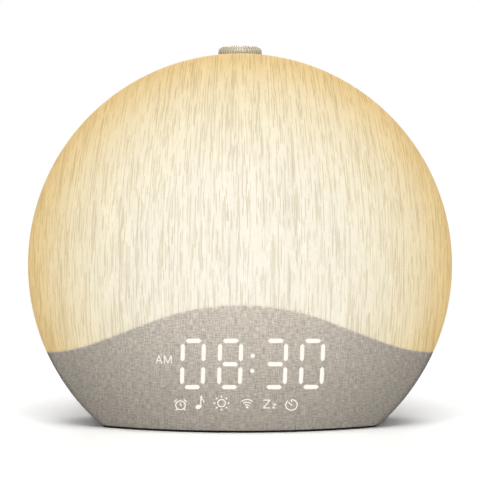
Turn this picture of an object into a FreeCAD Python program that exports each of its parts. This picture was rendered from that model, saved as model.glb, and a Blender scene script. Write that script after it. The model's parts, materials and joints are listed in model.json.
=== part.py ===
import FreeCAD, Part
import math
import os

# A round sunrise alarm clock: a domed disc that stands on a flat cut, with a lit dome above,
# a cloth-covered base with a wave-shaped top edge, and a push-and-turn knob on top.
# Millimetres, +Z up, front towards -Y, origin on the table under the middle of the body.

Vec = FreeCAD.Vector
FRONTWARDS = Vec(0, -1, 0)
BACKWARDS = Vec(0, 1, 0)
UPWARDS = Vec(0, 0, 1)
FAR = 200.0

# Body form, turned about a level axis from front to back
BODY_RADIUS = 90.0
BODY_DEPTH = 96.0
FOOT_HEIGHT = 1.0
BASE_DROP = 0.75 * BODY_RADIUS
CENTRE_Z = FOOT_HEIGHT + BASE_DROP
FRONT_Y = -BODY_DEPTH / 2
KEY_CROWN = 0.6
BACK_Y = BODY_DEPTH / 2 - KEY_CROWN
RIDGE_Y = -6.0
RIM_FILLET = 8.0
BACK_FILLET = 14.0
SIDE_DRAFT = math.radians(8)
SPLIT_Y = -4.0
SEAM = 0.15

# The front is a ball cap that runs tangent into the rim fillet
RIM_CENTRE_R = BODY_RADIUS - RIM_FILLET
RIDGE_REACH = RIDGE_Y - FRONT_Y
CAP_RADIUS = (RIM_CENTRE_R ** 2 + RIDGE_REACH ** 2 - RIM_FILLET ** 2) / (2 * (RIDGE_REACH - RIM_FILLET))
CAP_Y = FRONT_Y + CAP_RADIUS
CAP_ANGLE = math.atan2(RIM_CENTRE_R, CAP_Y - RIDGE_Y)
BACK_CENTRE_Y = BACK_Y - BACK_FILLET
BACK_CENTRE_R = RIM_CENTRE_R + (
    RIM_FILLET - BACK_FILLET + (RIDGE_Y - BACK_CENTRE_Y) * math.sin(SIDE_DRAFT)
) / math.cos(SIDE_DRAFT)

# Wall build-up
DIFFUSER_WALL = 2.2
CLOTH = 0.85
GLUE_GAP = 0.1
SHELL_OUTSIDE = CLOTH + GLUE_GAP
SHELL_WALL = 2.35
SHELL_INSIDE = SHELL_OUTSIDE + SHELL_WALL
HOUSING_WALL = 2.4
FOOT_INSET = 1.0
FOOT_WIDTH = 4.0
PLATE = 2.4
PLATE_TOP = FOOT_HEIGHT + PLATE
PLATE_CLEARANCE = 0.3

# Wave edge between the lit dome and the cloth
HILL_TOP_Z = 55.2
HILL_RADIUS = 95.0
FLANK_ANGLE = math.radians(22.8)
FLANK_END_X = 62.0
VALLEY_RADIUS = 70.0
WAVE_GAP = 0.15
SHELF = 1.5
SHELF_BACK_Y = -9.6
LIP_HEIGHT = 3.0
LIP_BACK_Y = -13.0

# Display block, leaning with the dome behind the cloth
DISPLAY_LEAN = math.asin(42.5 / CAP_RADIUS)
DISPLAY_Y = CAP_Y - CAP_RADIUS * math.cos(DISPLAY_LEAN)
DISPLAY_Z = CENTRE_Z - CAP_RADIUS * math.sin(DISPLAY_LEAN)
DISPLAY_HALF_WIDTH = 38.0
DISPLAY_BOTTOM_V = -19.0
DISPLAY_TOP_V = 16.2
MASK_BACK_N = -10.5
PAST_FRONT_N = 12.0
WINDOW_BACK_N = -14.0
WINDOW_CLEARANCE = 0.2
MASK_FRONT = SHELL_OUTSIDE + 0.05
DIGIT_CENTRES = (-19.4, -4.0, 14.6, 30.1)
DIGIT_V = 4.6
DIGIT_HALF_WIDTH = 4.25
DIGIT_HALF_HEIGHT = 10.55
SEGMENT_WIDTH = 2.0
SEGMENT_GAP_UPRIGHT = 1.4
SEGMENT_GAP_LEVEL = 1.1
DIGIT_SLANT = math.tan(math.radians(2.4))
COLON_U = 5.5
COLON_HALF_STEP = 3.4
COLON_DOT = 1.9
ICON_V = -14.1
ICON_CENTRES = (-24.4, -16.3, -7.4, 3.0, 12.6, 21.7)
ICON_CELL = 6.4
CELL_TALL = 5.0
MORNING_CELL = (-31.2, 7.3, 8.0)
DISPLAY_LED_HALF = 0.5
DISPLAY_LED = 0.7
RIBBON_V = -12.0
RIBBON_HALF_WIDTH = 6.0
RIBBON_HALF = 0.15

# Chassis, light engine and boards
CHASSIS_BACK_Y = -4.6
CHASSIS_FRONT_Y = CHASSIS_BACK_Y - PLATE
CHASSIS_RADIUS = 86.0
FLANGE_WALL = 1.8
FLANGE_BACK_Y = 1.0
CHASSIS_POST = 4.2
STANDOFF = 3.0
CHASSIS_BOTTOM_Z = PLATE_TOP + 0.8
BOARD = 1.6
LED_CENTRE_Z = 62.0
LED_BOARD_RADIUS = 58.0
LED_RINGS = ((14.0, 3), (32.0, 6), (50.0, 9))
LED_SIZE = 3.5
REFLECTOR = 0.6
REFLECTOR_RADIUS = 78.0
MAIN_BOARD_Y = 2.0
MAIN_BOARD_HALF = 43.0
MAIN_BOARD_Z = (14.0, 62.0)

# Screws
SCREW_RADIUS = 1.2
PILOT_RADIUS = 1.25
SCREW_CLEARANCE = 1.5
HEAD_RADIUS = 2.6
HEAD_HEIGHT = 1.6
HOUSING_SCREWS = ((-55.0, 100.0), (55.0, 100.0), (-50.0, 30.0), (50.0, 30.0))
HOUSING_BOSS = 4.6
HOUSING_BOSS_END_Y = 12.0
HOUSING_SEAT_Y = 16.0
HOUSING_HEAD_BORE = 3.2
BOSS_BARE = 6.0
TAB_ANGLES = (18.0, 62.0, 118.0, 162.0)
TAB_SCREW_RADIUS = 81.4
TAB_INSIDE = 3.2
TAB_HALF_WIDTH = 5.0
TAB_DEPTH = 3.4
TOUCH_GAP = 0.1
WELD = 0.6
FRONT_BOSS = 3.8
FRONT_PILOT_DEPTH = 8.0
FRONT_BOSSES = ((-58.0, 22.0), (58.0, 22.0))
MAIN_BOARD_SCREWS = ((-39.0, 18.0), (39.0, 18.0), (-39.0, 58.0), (39.0, 58.0))
LED_BOARD_SCREWS = ((-42.0, 68.0), (42.0, 68.0), (0.0, 102.0))
BASE_FRONT_SCREWS = ((-24.0, -11.5), (24.0, -11.5))
BASE_BACK_SCREWS = ((-33.0, 33.0), (33.0, 33.0))
BASE_BOSS = 3.4
BASE_BOSS_TOP = 14.0
BASE_RIB_TOP = BASE_BOSS_TOP - 2
RIB_HALF = 1.0

# Knob and rotary encoder
KNOB_Y = 8.0
KNOB_RADIUS = 9.35
KNOB_TOP = 162.0
KNOB_BOTTOM = 155.9
KNOB_SHOULDER = 3.3
KNOB_RIBS = 48
RIB_DEPTH = 0.3
RIB_WIDTH = 0.66
RIB_REACH = 3.0
KNOB_HOLLOW = 7.6
KNOB_ROOF = 2.4
KNOB_STEM = 4.7
KNOB_STEM_BOTTOM = 148.5
KNOB_WELL = 10.2
KNOB_WELL_FLOOR = 154.8
WELL_PAD = 12.5
WELL_FLOOR = 3.0
STEM_PLAY = 0.5
KNOB_CAP_RADIUS = 5.6
KNOB_CAP = 0.8
SHAFT_RADIUS = 3.0
SHAFT_BOTTOM = 139.65
SHAFT_TOP = 158.4
SHAFT_FLAT = 1.6
ENCODER_SHELF_Z = 134.0
ENCODER_BOARD_Z = ENCODER_SHELF_Z + PLATE
ENCODER_Z = ENCODER_BOARD_Z + BOARD
ENCODER_TALL = 5.0
ENCODER_HALF = 6.2
ENCODER_BOARD_HALF = (13.0, 10.0)
ENCODER_SHELF_END_Y = KNOB_Y + 11
SHELF_HALF_WIDTH = 15.0
GUSSET = 1.8
GUSSET_DROP = 20.0
BUSH_RADIUS = 3.9
BUSH_TOP = 147.0
ENCODER_PLUNGER_RADIUS = 2.2
PRESS_TRAVEL = 0.8

# Keys on the back
KEY_NAMES = ("alarm", "sound", "light", "wireless", "timer")
KEY_PITCH = 17.0
KEY_Z = 112.0
KEY_SIZE = (12.0, 6.5)
KEY_CLEARANCE = 0.3
KEY_POCKET = 0.8
POCKET_EDGE = 6.0
WALL_CUT_Y = 40.0
KEY_FLANGE_Y = (43.5, 44.7)
KEY_STEM_END_Y = 41.8
KEY_BOARD_Y = 35.4
KEY_BOARD_HALF = 49.0
KEY_BOARD_Z = (103.5, 120.5)
KEY_POST_X = 45.5
KEY_POST = 2.5
SWITCH = 6.0
SWITCH_FRONT_Y = 40.5
SWITCH_BUTTON = 1.7

# Speaker and grille
SPEAKER_Z = 70.0
SPEAKER_HALF = 27.0
SPEAKER_SCREW = 22.8
SPEAKER_PAD = 2.8
SPEAKER_HOLE = 21.5
SPEAKER_CORNER = 5.0
SPEAKER_OPENING = 23.0
FRAME = 1.5
GASKET_OUTSIDE = 25.5
GASKET_INSIDE = 22.5
BASKET_DEPTH = 13.5
BASKET_WALL = 1.1
STRIP_HALF_WIDTH = 5.0
GRILLE_RADIUS = 24.0
GRILLE = 1.25
GRILLE_SLOT = 2.0
GRILLE_PITCH = 3.8
GRILLE_SLOT_REACH = 20.0

# Ports
PORT_Z = 19.0
POWER_X = -9.5
CHARGE_X = 8.5
PORT_MOUTH_Y = 46.4
PORT_POCKET = (40.0, 14.0)
POWER_SHELL = (8.94, 3.26)
POWER_MOUTH = (8.34, 2.66)
POWER_HOLE = (9.4, 3.7)
CHARGE_HALF_WIDTH = 7.2
CHARGE_HEIGHT = 7.0
CHARGE_WALL = 0.9
CHARGE_HOLE = (7.4, 3.7)
POWER_BOARD_Y = (20.0, 44.0)
POWER_BOARD_HALF = 18.0
POWER_BOARD_Z = 13.9
POWER_BOARD_POST = 2.8
POWER_BOARD_POSTS = ((-14.0, 24.0), (14.0, 24.0), (-14.0, 40.5), (14.0, 40.5))

# Coin cell under its quarter-turn door
CELL_X = -29.0
CELL_Y = 11.0
CELL_RADIUS = 10.0
CELL = 3.2
CELL_STEP = 0.3
DOOR_RADIUS = 12.8
DOOR_Z = (FOOT_HEIGHT + 0.2, FOOT_HEIGHT + 1.4)
DOOR_NECK = 11.0
DOOR_CLEARANCE = 0.3
DOOR_TURN = 40.0
LUG_RADIUS = 12.6
LUG_HALF_WIDTH = 3.0
COIN_SLOT = (7.0, 0.9)
LUG_Z = (PLATE_TOP + 0.3, PLATE_TOP + 1.3)
HOLDER_RADIUS = 14.8

# Leads, and the holes that they pass through
LEAD_RADIUS = 1.1
LED_LEAD_AT = (-30.0, 72.0)
LED_LEAD_HOLE = 3.0
ENCODER_LEAD_AT = (10.0, 14.0)
ENCODER_LEAD_HOLE = 2.4
RIBBON_SLOT_HALF = 9.0
RIBBON_SLOT_Z = (8.0, 16.0)
LEAD_Y = 6.2


def box(x_range, y_range, z_range):
    """A box between two corners, each side given as a (low, high) pair."""
    size = [high - low for low, high in (x_range, y_range, z_range)]
    return Part.makeBox(*size, Vec(x_range[0], y_range[0], z_range[0]))


def rod_y(radius, x, z, y_start, y_end):
    """A round rod along Y."""
    return Part.makeCylinder(radius, y_end - y_start, Vec(x, y_start, z), BACKWARDS)


def rod_z(radius, x, y, z_start, z_end):
    """A round rod along Z."""
    return Part.makeCylinder(radius, z_end - z_start, Vec(x, y, z_start))


def pill_y(length, width, x, z, y_start, y_end):
    """A bar along X with round ends, as deep in Y as stated."""
    half = (length - width) / 2
    core = box((x - half, x + half), (y_start, y_end), (z - width / 2, z + width / 2))
    ends = [rod_y(width / 2, x + side * half, z, y_start, y_end) for side in (-1, 1)]
    return core.multiFuse(ends).removeSplitter()


def fused(shapes):
    """One solid from several that overlap or touch."""
    return shapes[0].multiFuse(shapes[1:]).removeSplitter()


def turned(points, axis_point, axis=UPWARDS):
    """A solid turned from a closed polygon of corner points."""
    outline = Part.makePolygon(points + points[:1])
    return Part.Face(outline).revolve(axis_point, axis, 360)


def screw(head_centre, direction, length):
    """A pan-head screw. head_centre is where the head meets what it clamps."""
    head = Part.makeCylinder(HEAD_RADIUS, HEAD_HEIGHT, head_centre, direction * -1)
    shank = Part.makeCylinder(SCREW_RADIUS, length, head_centre, direction)
    return head.fuse(shank)


def body(offset):
    """The outer form moved inwards by offset, as one turned solid."""
    def spoke(centre_r, centre_y, radius, angle):
        return Vec(centre_r + radius * math.sin(angle), centre_y - radius * math.cos(angle), CENTRE_Z)

    def arc(centre_r, centre_y, radius, start, end):
        marks = [spoke(centre_r, centre_y, radius, a) for a in (start, (start + end) / 2, end)]
        return Part.Arc(*marks).toShape()

    side = math.pi / 2 + SIDE_DRAFT
    cap = arc(0, CAP_Y, CAP_RADIUS - offset, 0, CAP_ANGLE)
    rim = arc(RIM_CENTRE_R, RIDGE_Y, RIM_FILLET - offset, CAP_ANGLE, side)
    shoulder = arc(BACK_CENTRE_R, BACK_CENTRE_Y, BACK_FILLET - offset, side, math.pi)
    flank = Part.makeLine(rim.Vertexes[-1].Point, shoulder.Vertexes[0].Point)
    back_middle = Vec(0, BACK_Y - offset, CENTRE_Z)
    back = Part.makeLine(shoulder.Vertexes[-1].Point, back_middle)
    axle = Part.makeLine(back_middle, cap.Vertexes[0].Point)
    outline = Part.Wire([cap, rim, flank, shoulder, back, axle])
    return Part.Face(outline).revolve(Vec(0, 0, CENTRE_Z), BACKWARDS, 360)


def skin(outside, inside):
    """The shell between two offsets of the body, open at the flat cut underneath."""
    room = box((-FAR, FAR), (-FAR, FAR), (FOOT_HEIGHT, FAR))
    return body(outside).cut(body(inside)).common(room)


def ahead_of(y):
    """All the room in front of a plane."""
    return box((-FAR, FAR), (-FAR, y), (-FAR, FAR))


def behind(y):
    """All the room behind a plane."""
    return box((-FAR, FAR), (y, FAR), (-FAR, FAR))


def under_wave(lift):
    """All the room below the wave edge, raised by lift."""
    sine = math.sin(FLANK_ANGLE)
    hill_x = HILL_RADIUS * sine
    hill_z = HILL_TOP_Z - HILL_RADIUS * (1 - math.cos(FLANK_ANGLE))
    flank_z = hill_z - (FLANK_END_X - hill_x) * math.tan(FLANK_ANGLE)
    valley_x = FLANK_END_X + VALLEY_RADIUS * sine
    valley_z = flank_z - VALLEY_RADIUS * (1 - math.cos(FLANK_ANGLE))
    bend_x = valley_x - VALLEY_RADIUS * math.sin(FLANK_ANGLE / 2)
    bend_z = valley_z + VALLEY_RADIUS * (1 - math.cos(FLANK_ANGLE / 2))

    def at(x, z):
        return Vec(x, -FAR, z + lift)

    edges = [
        Part.makeLine(at(-FAR, -FAR), at(-FAR, valley_z)),
        Part.makeLine(at(-FAR, valley_z), at(-valley_x, valley_z)),
        Part.Arc(at(-valley_x, valley_z), at(-bend_x, bend_z), at(-FLANK_END_X, flank_z)).toShape(),
        Part.makeLine(at(-FLANK_END_X, flank_z), at(-hill_x, hill_z)),
        Part.Arc(at(-hill_x, hill_z), at(0, HILL_TOP_Z), at(hill_x, hill_z)).toShape(),
        Part.makeLine(at(hill_x, hill_z), at(FLANK_END_X, flank_z)),
        Part.Arc(at(FLANK_END_X, flank_z), at(bend_x, bend_z), at(valley_x, valley_z)).toShape(),
        Part.makeLine(at(valley_x, valley_z), at(FAR, valley_z)),
        Part.makeLine(at(FAR, valley_z), at(FAR, -FAR)),
        Part.makeLine(at(FAR, -FAR), at(-FAR, -FAR)),
    ]
    return Part.Face(Part.Wire(edges)).extrude(Vec(0, 2 * FAR, 0))


def on_display(u, v, n):
    """A point of the display block: u to the right, v up its face, n out of it towards the viewer."""
    out_y = -math.cos(DISPLAY_LEAN)
    out_z = -math.sin(DISPLAY_LEAN)
    return Vec(u, DISPLAY_Y + v * out_z + n * out_y, DISPLAY_Z - v * out_y + n * out_z)


def display_prism(outline, near, far):
    """A prism on the display block from a closed outline of (u, v) corners."""
    corners = [on_display(u, v, near) for u, v in outline]
    face = Part.Face(Part.makePolygon(corners + corners[:1]))
    return face.extrude(on_display(0, 0, far) - on_display(0, 0, near))


def display_slab(half_width, bottom_v, top_v, near, far):
    """A rectangular prism on the display block."""
    corners = ((-half_width, bottom_v), (half_width, bottom_v), (half_width, top_v), (-half_width, top_v))
    return display_prism(corners, near, far)


def segment_outline(start, end):
    """Six corners of one bar of a digit, pointed at both ends."""
    (u0, v0), (u1, v1) = start, end
    length = math.hypot(u1 - u0, v1 - v0)
    along = ((u1 - u0) / length, (v1 - v0) / length)
    half = SEGMENT_WIDTH / 2
    corners = []
    for t, side in ((0, 0), (half, 1), (length - half, 1), (length, 0), (length - half, -1), (half, -1)):
        u = u0 + along[0] * t - along[1] * half * side
        v = v0 + along[1] * t + along[0] * half * side
        corners.append((u, v))
    return corners


def digit_outlines(centre_u):
    """The seven bars of one digit, leaning to the right."""
    w, h = DIGIT_HALF_WIDTH, DIGIT_HALF_HEIGHT
    upright = [
        ((side * w, level * SEGMENT_GAP_UPRIGHT), (side * w, level * (h - SEGMENT_GAP_UPRIGHT)))
        for side in (-1, 1)
        for level in (-1, 1)
    ]
    reach = w - SEGMENT_GAP_LEVEL
    level_bars = [((-reach, v), (reach, v)) for v in (-h, 0, h)]
    outlines = []
    for start, end in upright + level_bars:
        bar = segment_outline(start, end)
        outlines.append([(centre_u + u + v * DIGIT_SLANT, DIGIT_V + v) for u, v in bar])
    return outlines


def octagon(centre_u, centre_v, width, height):
    """Eight corners of a cell with its corners cut."""
    cut = min(width, height) * 0.29
    w, h = width / 2, height / 2
    right = ((w, -h + cut), (w, h - cut), (w - cut, h))
    left = ((-w + cut, h), (-w, h - cut), (-w, -h + cut))
    bottom = ((-w + cut, -h), (w - cut, -h))
    return [(centre_u + u, centre_v + v) for u, v in right + left + bottom]


def time_cells():
    """Outlines of every bar of the four digits, and the two colon dots."""
    bars = [outline for u in DIGIT_CENTRES for outline in digit_outlines(u)]
    for side in (-1, 1):
        rise = side * COLON_HALF_STEP
        bars.append(octagon(COLON_U + rise * DIGIT_SLANT, DIGIT_V + rise, COLON_DOT, COLON_DOT))
    return bars


def icon_cells():
    """Outlines of the six icon cells and the morning mark beside the digits."""
    icons = [octagon(u, ICON_V, ICON_CELL, CELL_TALL + 1) for u in ICON_CENTRES]
    return icons + [octagon(*MORNING_CELL, CELL_TALL)]


def diffuser_dome():
    """Lit dome: a thin cap over the upper front, with screw tabs inside its rim."""
    shell = skin(0, DIFFUSER_WALL).common(ahead_of(SPLIT_Y))
    back = CHASSIS_FRONT_Y - TOUCH_GAP
    tab_x = (TAB_SCREW_RADIUS - TAB_INSIDE, BODY_RADIUS)
    tab_z = (CENTRE_Z - TAB_HALF_WIDTH, CENTRE_Z + TAB_HALF_WIDTH)
    tabs = []
    for angle in TAB_ANGLES:
        hole = rod_y(PILOT_RADIUS, TAB_SCREW_RADIUS, CENTRE_Z, back - TAB_DEPTH + 0.5, back)
        tab = box(tab_x, (back - TAB_DEPTH, back), tab_z).cut(hole)
        tab.rotate(Vec(0, 0, CENTRE_Z), FRONTWARDS, angle)
        tabs.append(tab.common(body(DIFFUSER_WALL - WELD)))
    return fused([shell] + tabs).cut(under_wave(WAVE_GAP))


def fabric_wrap():
    """Cloth glued over the lower front shell, cut to the wave."""
    return skin(0, CLOTH).common(ahead_of(SPLIT_Y)).common(under_wave(0))


def front_base_shell():
    """Moulded shell under the cloth, with the display window, light shelf, lap lip and bosses."""
    wall = skin(SHELL_OUTSIDE, SHELL_INSIDE).common(ahead_of(SPLIT_Y)).common(under_wave(0))
    lip_room = under_wave(LIP_HEIGHT).cut(under_wave(-SHELF)).common(ahead_of(LIP_BACK_Y))
    lip = body(DIFFUSER_WALL + 0.25).cut(body(DIFFUSER_WALL + 1.75)).common(lip_room)
    shelf_room = under_wave(0).cut(under_wave(-SHELF)).common(ahead_of(SHELF_BACK_Y))
    shelf = body(DIFFUSER_WALL + 0.6).common(shelf_room)
    inside = body(SHELL_OUTSIDE + WELD)
    boss_end = CHASSIS_FRONT_Y - TOUCH_GAP
    bosses = [rod_y(FRONT_BOSS, x, z, -FAR, boss_end).common(inside) for x, z in FRONT_BOSSES]
    bosses += [base_boss(x, y, (-FAR, y)).common(inside) for x, y in BASE_FRONT_SCREWS]
    shell = wall.multiFuse([lip, shelf] + bosses)
    window = display_slab(
        DISPLAY_HALF_WIDTH + WINDOW_CLEARANCE,
        DISPLAY_BOTTOM_V - WINDOW_CLEARANCE,
        DISPLAY_TOP_V + WINDOW_CLEARANCE,
        WINDOW_BACK_N,
        PAST_FRONT_N,
    )
    pilot_y = (CHASSIS_FRONT_Y - FRONT_PILOT_DEPTH, CHASSIS_FRONT_Y)
    pilots = [rod_y(PILOT_RADIUS, x, z, *pilot_y) for x, z in FRONT_BOSSES]
    pilots += [rod_z(PILOT_RADIUS, x, y, PLATE_TOP, BASE_RIB_TOP) for x, y in BASE_FRONT_SCREWS]
    keep_shelf = under_wave(0).cut(under_wave(-SHELF))
    return shell.cut(window.cut(keep_shelf)).cut(Part.makeCompound(pilots))


def display_mask():
    """Dark block that fills the window, with a light cell for every bar, dot and icon."""
    block = display_slab(DISPLAY_HALF_WIDTH, DISPLAY_BOTTOM_V, DISPLAY_TOP_V, MASK_BACK_N, PAST_FRONT_N)
    cells = [display_prism(o, MASK_BACK_N - 1, PAST_FRONT_N) for o in time_cells() + icon_cells()]
    return block.common(body(MASK_FRONT)).cut(Part.makeCompound(cells))


def light_guides(outlines):
    """Clear plugs that fill the light cells and end flush with the block's domed front."""
    front = body(MASK_FRONT)
    plugs = [display_prism(o, MASK_BACK_N + 1, PAST_FRONT_N).common(front) for o in outlines]
    return Part.makeCompound(plugs)


def display_leds():
    """One small lamp behind each light cell."""
    chips = []
    for outline in time_cells() + icon_cells():
        u = sum(c[0] for c in outline) / len(outline)
        v = sum(c[1] for c in outline) / len(outline)
        half = DISPLAY_LED_HALF
        corners = ((u - half, v - half), (u + half, v - half), (u + half, v + half), (u - half, v + half))
        chips.append(display_prism(corners, MASK_BACK_N, MASK_BACK_N + DISPLAY_LED))
    return Part.makeCompound(chips)


def display_board():
    """Circuit board on the back of the display block."""
    back = MASK_BACK_N - BOARD
    return display_slab(DISPLAY_HALF_WIDTH, DISPLAY_BOTTOM_V, DISPLAY_TOP_V, back, MASK_BACK_N)


def led_places():
    """Centres of the dome's lamps, on three half rings."""
    places = []
    for radius, count in LED_RINGS:
        for i in range(count):
            angle = math.pi * (i + 0.5) / count
            places.append((radius * math.cos(angle), LED_CENTRE_Z + radius * math.sin(angle)))
    return places


def led_board():
    """Half-round board in front of the chassis that carries the dome's lamps."""
    y_range = (CHASSIS_FRONT_Y - BOARD, CHASSIS_FRONT_Y)
    disc = rod_y(LED_BOARD_RADIUS, 0, LED_CENTRE_Z, *y_range)
    board = disc.common(box((-FAR, FAR), y_range, (LED_CENTRE_Z - 3, FAR)))
    holes = [rod_y(SCREW_CLEARANCE, x, z, *y_range) for x, z in LED_BOARD_SCREWS]
    return board.cut(Part.makeCompound(holes))


def led_chips():
    """The dome's lamps."""
    back = CHASSIS_FRONT_Y - BOARD
    half = LED_SIZE / 2
    chips = [box((x - half, x + half), (back - 1.4, back), (z - half, z + half)) for x, z in led_places()]
    return Part.makeCompound(chips)


def reflector_sheet():
    """White sheet over the lamp board, with a square hole for each lamp."""
    back = CHASSIS_FRONT_Y - BOARD - 0.2
    y_range = (back - REFLECTOR, back)
    sheet = rod_y(REFLECTOR_RADIUS, 0, CENTRE_Z, *y_range).cut(under_wave(0.3))
    half = LED_SIZE / 2 + 0.4
    holes = [box((x - half, x + half), y_range, (z - half, z + half)) for x, z in led_places()]
    holes += [rod_y(SCREW_CLEARANCE, x, z, *y_range) for x, z in LED_BOARD_SCREWS]
    return sheet.cut(Part.makeCompound(holes))


def tab_screw_places():
    """Where the screws into the dome's rim tabs stand."""
    places = []
    for angle in TAB_ANGLES:
        a = math.radians(angle)
        places.append((TAB_SCREW_RADIUS * math.cos(a), CENTRE_Z + TAB_SCREW_RADIUS * math.sin(a)))
    return places


def chassis_frame():
    """Upright plate between front and rear, with a rim flange, posts, standoffs and encoder shelf."""
    above = box((-FAR, FAR), (-FAR, FAR), (CHASSIS_BOTTOM_Z, FAR))
    plate = rod_y(CHASSIS_RADIUS, 0, CENTRE_Z, CHASSIS_FRONT_Y, CHASSIS_BACK_Y)
    flange = rod_y(CHASSIS_RADIUS, 0, CENTRE_Z, CHASSIS_FRONT_Y, FLANGE_BACK_Y)
    flange = flange.cut(rod_y(CHASSIS_RADIUS - FLANGE_WALL, 0, CENTRE_Z, -FAR, FAR))
    post_end = HOUSING_BOSS_END_Y - TOUCH_GAP
    posts = [rod_y(CHASSIS_POST, x, z, CHASSIS_BACK_Y, post_end) for x, z in HOUSING_SCREWS]
    standoffs = [rod_y(STANDOFF, x, z, CHASSIS_BACK_Y, MAIN_BOARD_Y) for x, z in MAIN_BOARD_SCREWS]
    shelf_root = CHASSIS_BACK_Y - 1
    shelf_x = (-SHELF_HALF_WIDTH, SHELF_HALF_WIDTH)
    shelf = box(shelf_x, (shelf_root, ENCODER_SHELF_END_Y), (ENCODER_SHELF_Z, ENCODER_BOARD_Z))
    gussets = []
    for x in (1 - SHELF_HALF_WIDTH, SHELF_HALF_WIDTH - 1 - GUSSET):
        corners = [
            Vec(x, shelf_root, ENCODER_SHELF_Z + 1),
            Vec(x, ENCODER_SHELF_END_Y - 1, ENCODER_SHELF_Z + 1),
            Vec(x, shelf_root, ENCODER_SHELF_Z - GUSSET_DROP),
        ]
        gussets.append(Part.Face(Part.makePolygon(corners + corners[:1])).extrude(Vec(GUSSET, 0, 0)))
    frame = fused([plate, flange] + posts + standoffs + [shelf] + gussets).common(above)
    holes = [rod_y(PILOT_RADIUS, x, z, 0, FAR) for x, z in HOUSING_SCREWS]
    holes += [rod_y(PILOT_RADIUS, x, z, CHASSIS_BACK_Y + 2.2, MAIN_BOARD_Y) for x, z in MAIN_BOARD_SCREWS]
    holes += [rod_y(SCREW_CLEARANCE, x, z, -FAR, FAR) for x, z in FRONT_BOSSES]
    holes += [rod_y(SCREW_CLEARANCE, x, z, -FAR, 0) for x, z in tab_screw_places()]
    holes += [rod_y(PILOT_RADIUS, x, z, -FAR, 0) for x, z in LED_BOARD_SCREWS]
    well_room = WELL_PAD + 0.5
    well_bottom = KNOB_WELL_FLOOR - WELL_FLOOR - 0.3
    holes.append(box((-well_room, well_room), (CHASSIS_BACK_Y, FAR), (well_bottom, FAR)))
    holes.append(rod_y(LED_LEAD_HOLE, *LED_LEAD_AT, -FAR, 0))
    holes.append(rod_z(ENCODER_LEAD_HOLE, *ENCODER_LEAD_AT, ENCODER_SHELF_Z - 1, ENCODER_BOARD_Z + 1))
    slot_x = (-RIBBON_SLOT_HALF, RIBBON_SLOT_HALF)
    holes.append(box(slot_x, (CHASSIS_FRONT_Y - 1, CHASSIS_BACK_Y + 1), RIBBON_SLOT_Z))
    return frame.cut(Part.makeCompound(holes))


def main_board():
    """Control board on the chassis standoffs."""
    y_range = (MAIN_BOARD_Y, MAIN_BOARD_Y + BOARD)
    board = box((-MAIN_BOARD_HALF, MAIN_BOARD_HALF), y_range, MAIN_BOARD_Z)
    holes = [rod_y(SCREW_CLEARANCE, x, z, *y_range) for x, z in MAIN_BOARD_SCREWS]
    return board.cut(Part.makeCompound(holes))


def board_chips():
    """Processor, amplifier, memory and two capacitors on the control board."""
    back = MAIN_BOARD_Y + BOARD
    chips = [
        box((-6, 6), (back, back + 1.4), (30, 42)),
        box((14, 22), (back, back + 1.6), (34, 40)),
        box((-24, -18), (back, back + 1.2), (36, 41)),
        rod_y(4.0, 30, 44, back, back + 9),
        rod_y(4.0, 30, 30, back, back + 9),
    ]
    return Part.makeCompound(chips)


def board_connectors():
    """Wire sockets on the control board, the power board and the front of the control board."""
    back = MAIN_BOARD_Y + BOARD
    sockets = [
        box((16, 24), (back, back + 5), (52, 57)),
        box((-24, -16), (back, back + 5), (52, 57)),
        box((-4, 4), (back, back + 5), (50, 55)),
        box((28, 35), (back, back + 5), (52, 57)),
        box((-10, -4), (back, back + 4.5), (20, 24)),
        box((-8, 8), (MAIN_BOARD_Y - 2, MAIN_BOARD_Y), (15, 19)),
        box((-10, -4), (21, 25), (POWER_BOARD_Z + BOARD, POWER_BOARD_Z + BOARD + 4)),
    ]
    return Part.makeCompound(sockets)


def power_board():
    """Small level board that carries both ports."""
    z_range = (POWER_BOARD_Z, POWER_BOARD_Z + BOARD)
    board = box((-POWER_BOARD_HALF, POWER_BOARD_HALF), POWER_BOARD_Y, z_range)
    holes = [rod_z(SCREW_CLEARANCE, x, y, *z_range) for x, y in POWER_BOARD_POSTS]
    return board.cut(Part.makeCompound(holes))


def power_port():
    """Small oval power socket with its tongue."""
    top = POWER_BOARD_Z + BOARD
    shell = pill_y(*POWER_SHELL, POWER_X, PORT_Z, 39.0, PORT_MOUTH_Y)
    mouth = pill_y(*POWER_MOUTH, POWER_X, PORT_Z, 40.2, PORT_MOUTH_Y + 1)
    tongue = box((POWER_X - 3.3, POWER_X + 3.3), (40.0, PORT_MOUTH_Y - 0.8), (PORT_Z - 0.35, PORT_Z + 0.35))
    riser = box((POWER_X - 3.5, POWER_X + 3.5), (39.0, 43.5), (top, PORT_Z - 1.4))
    return fused([shell.cut(mouth), tongue, riser])


def charge_port():
    """Wide charging socket with its tongue."""
    bottom = POWER_BOARD_Z + BOARD
    top = bottom + CHARGE_HEIGHT
    half = CHARGE_HALF_WIDTH
    inside = half - CHARGE_WALL
    shell = box((CHARGE_X - half, CHARGE_X + half), (32.0, PORT_MOUTH_Y), (bottom, top))
    mouth_z = (bottom + CHARGE_WALL, top - CHARGE_WALL)
    mouth = box((CHARGE_X - inside, CHARGE_X + inside), (34.0, PORT_MOUTH_Y + 1), mouth_z)
    tongue = box((CHARGE_X - 5.6, CHARGE_X + 5.6), (33.0, PORT_MOUTH_Y - 1.5), (top - 3.4, top - 1.6))
    return fused([shell.cut(mouth), tongue])


def encoder_board():
    """Board on the chassis shelf that carries the encoder."""
    half_x, half_y = ENCODER_BOARD_HALF
    return box((-half_x, half_x), (KNOB_Y - half_y, KNOB_Y + half_y), (ENCODER_BOARD_Z, ENCODER_Z))


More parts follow.
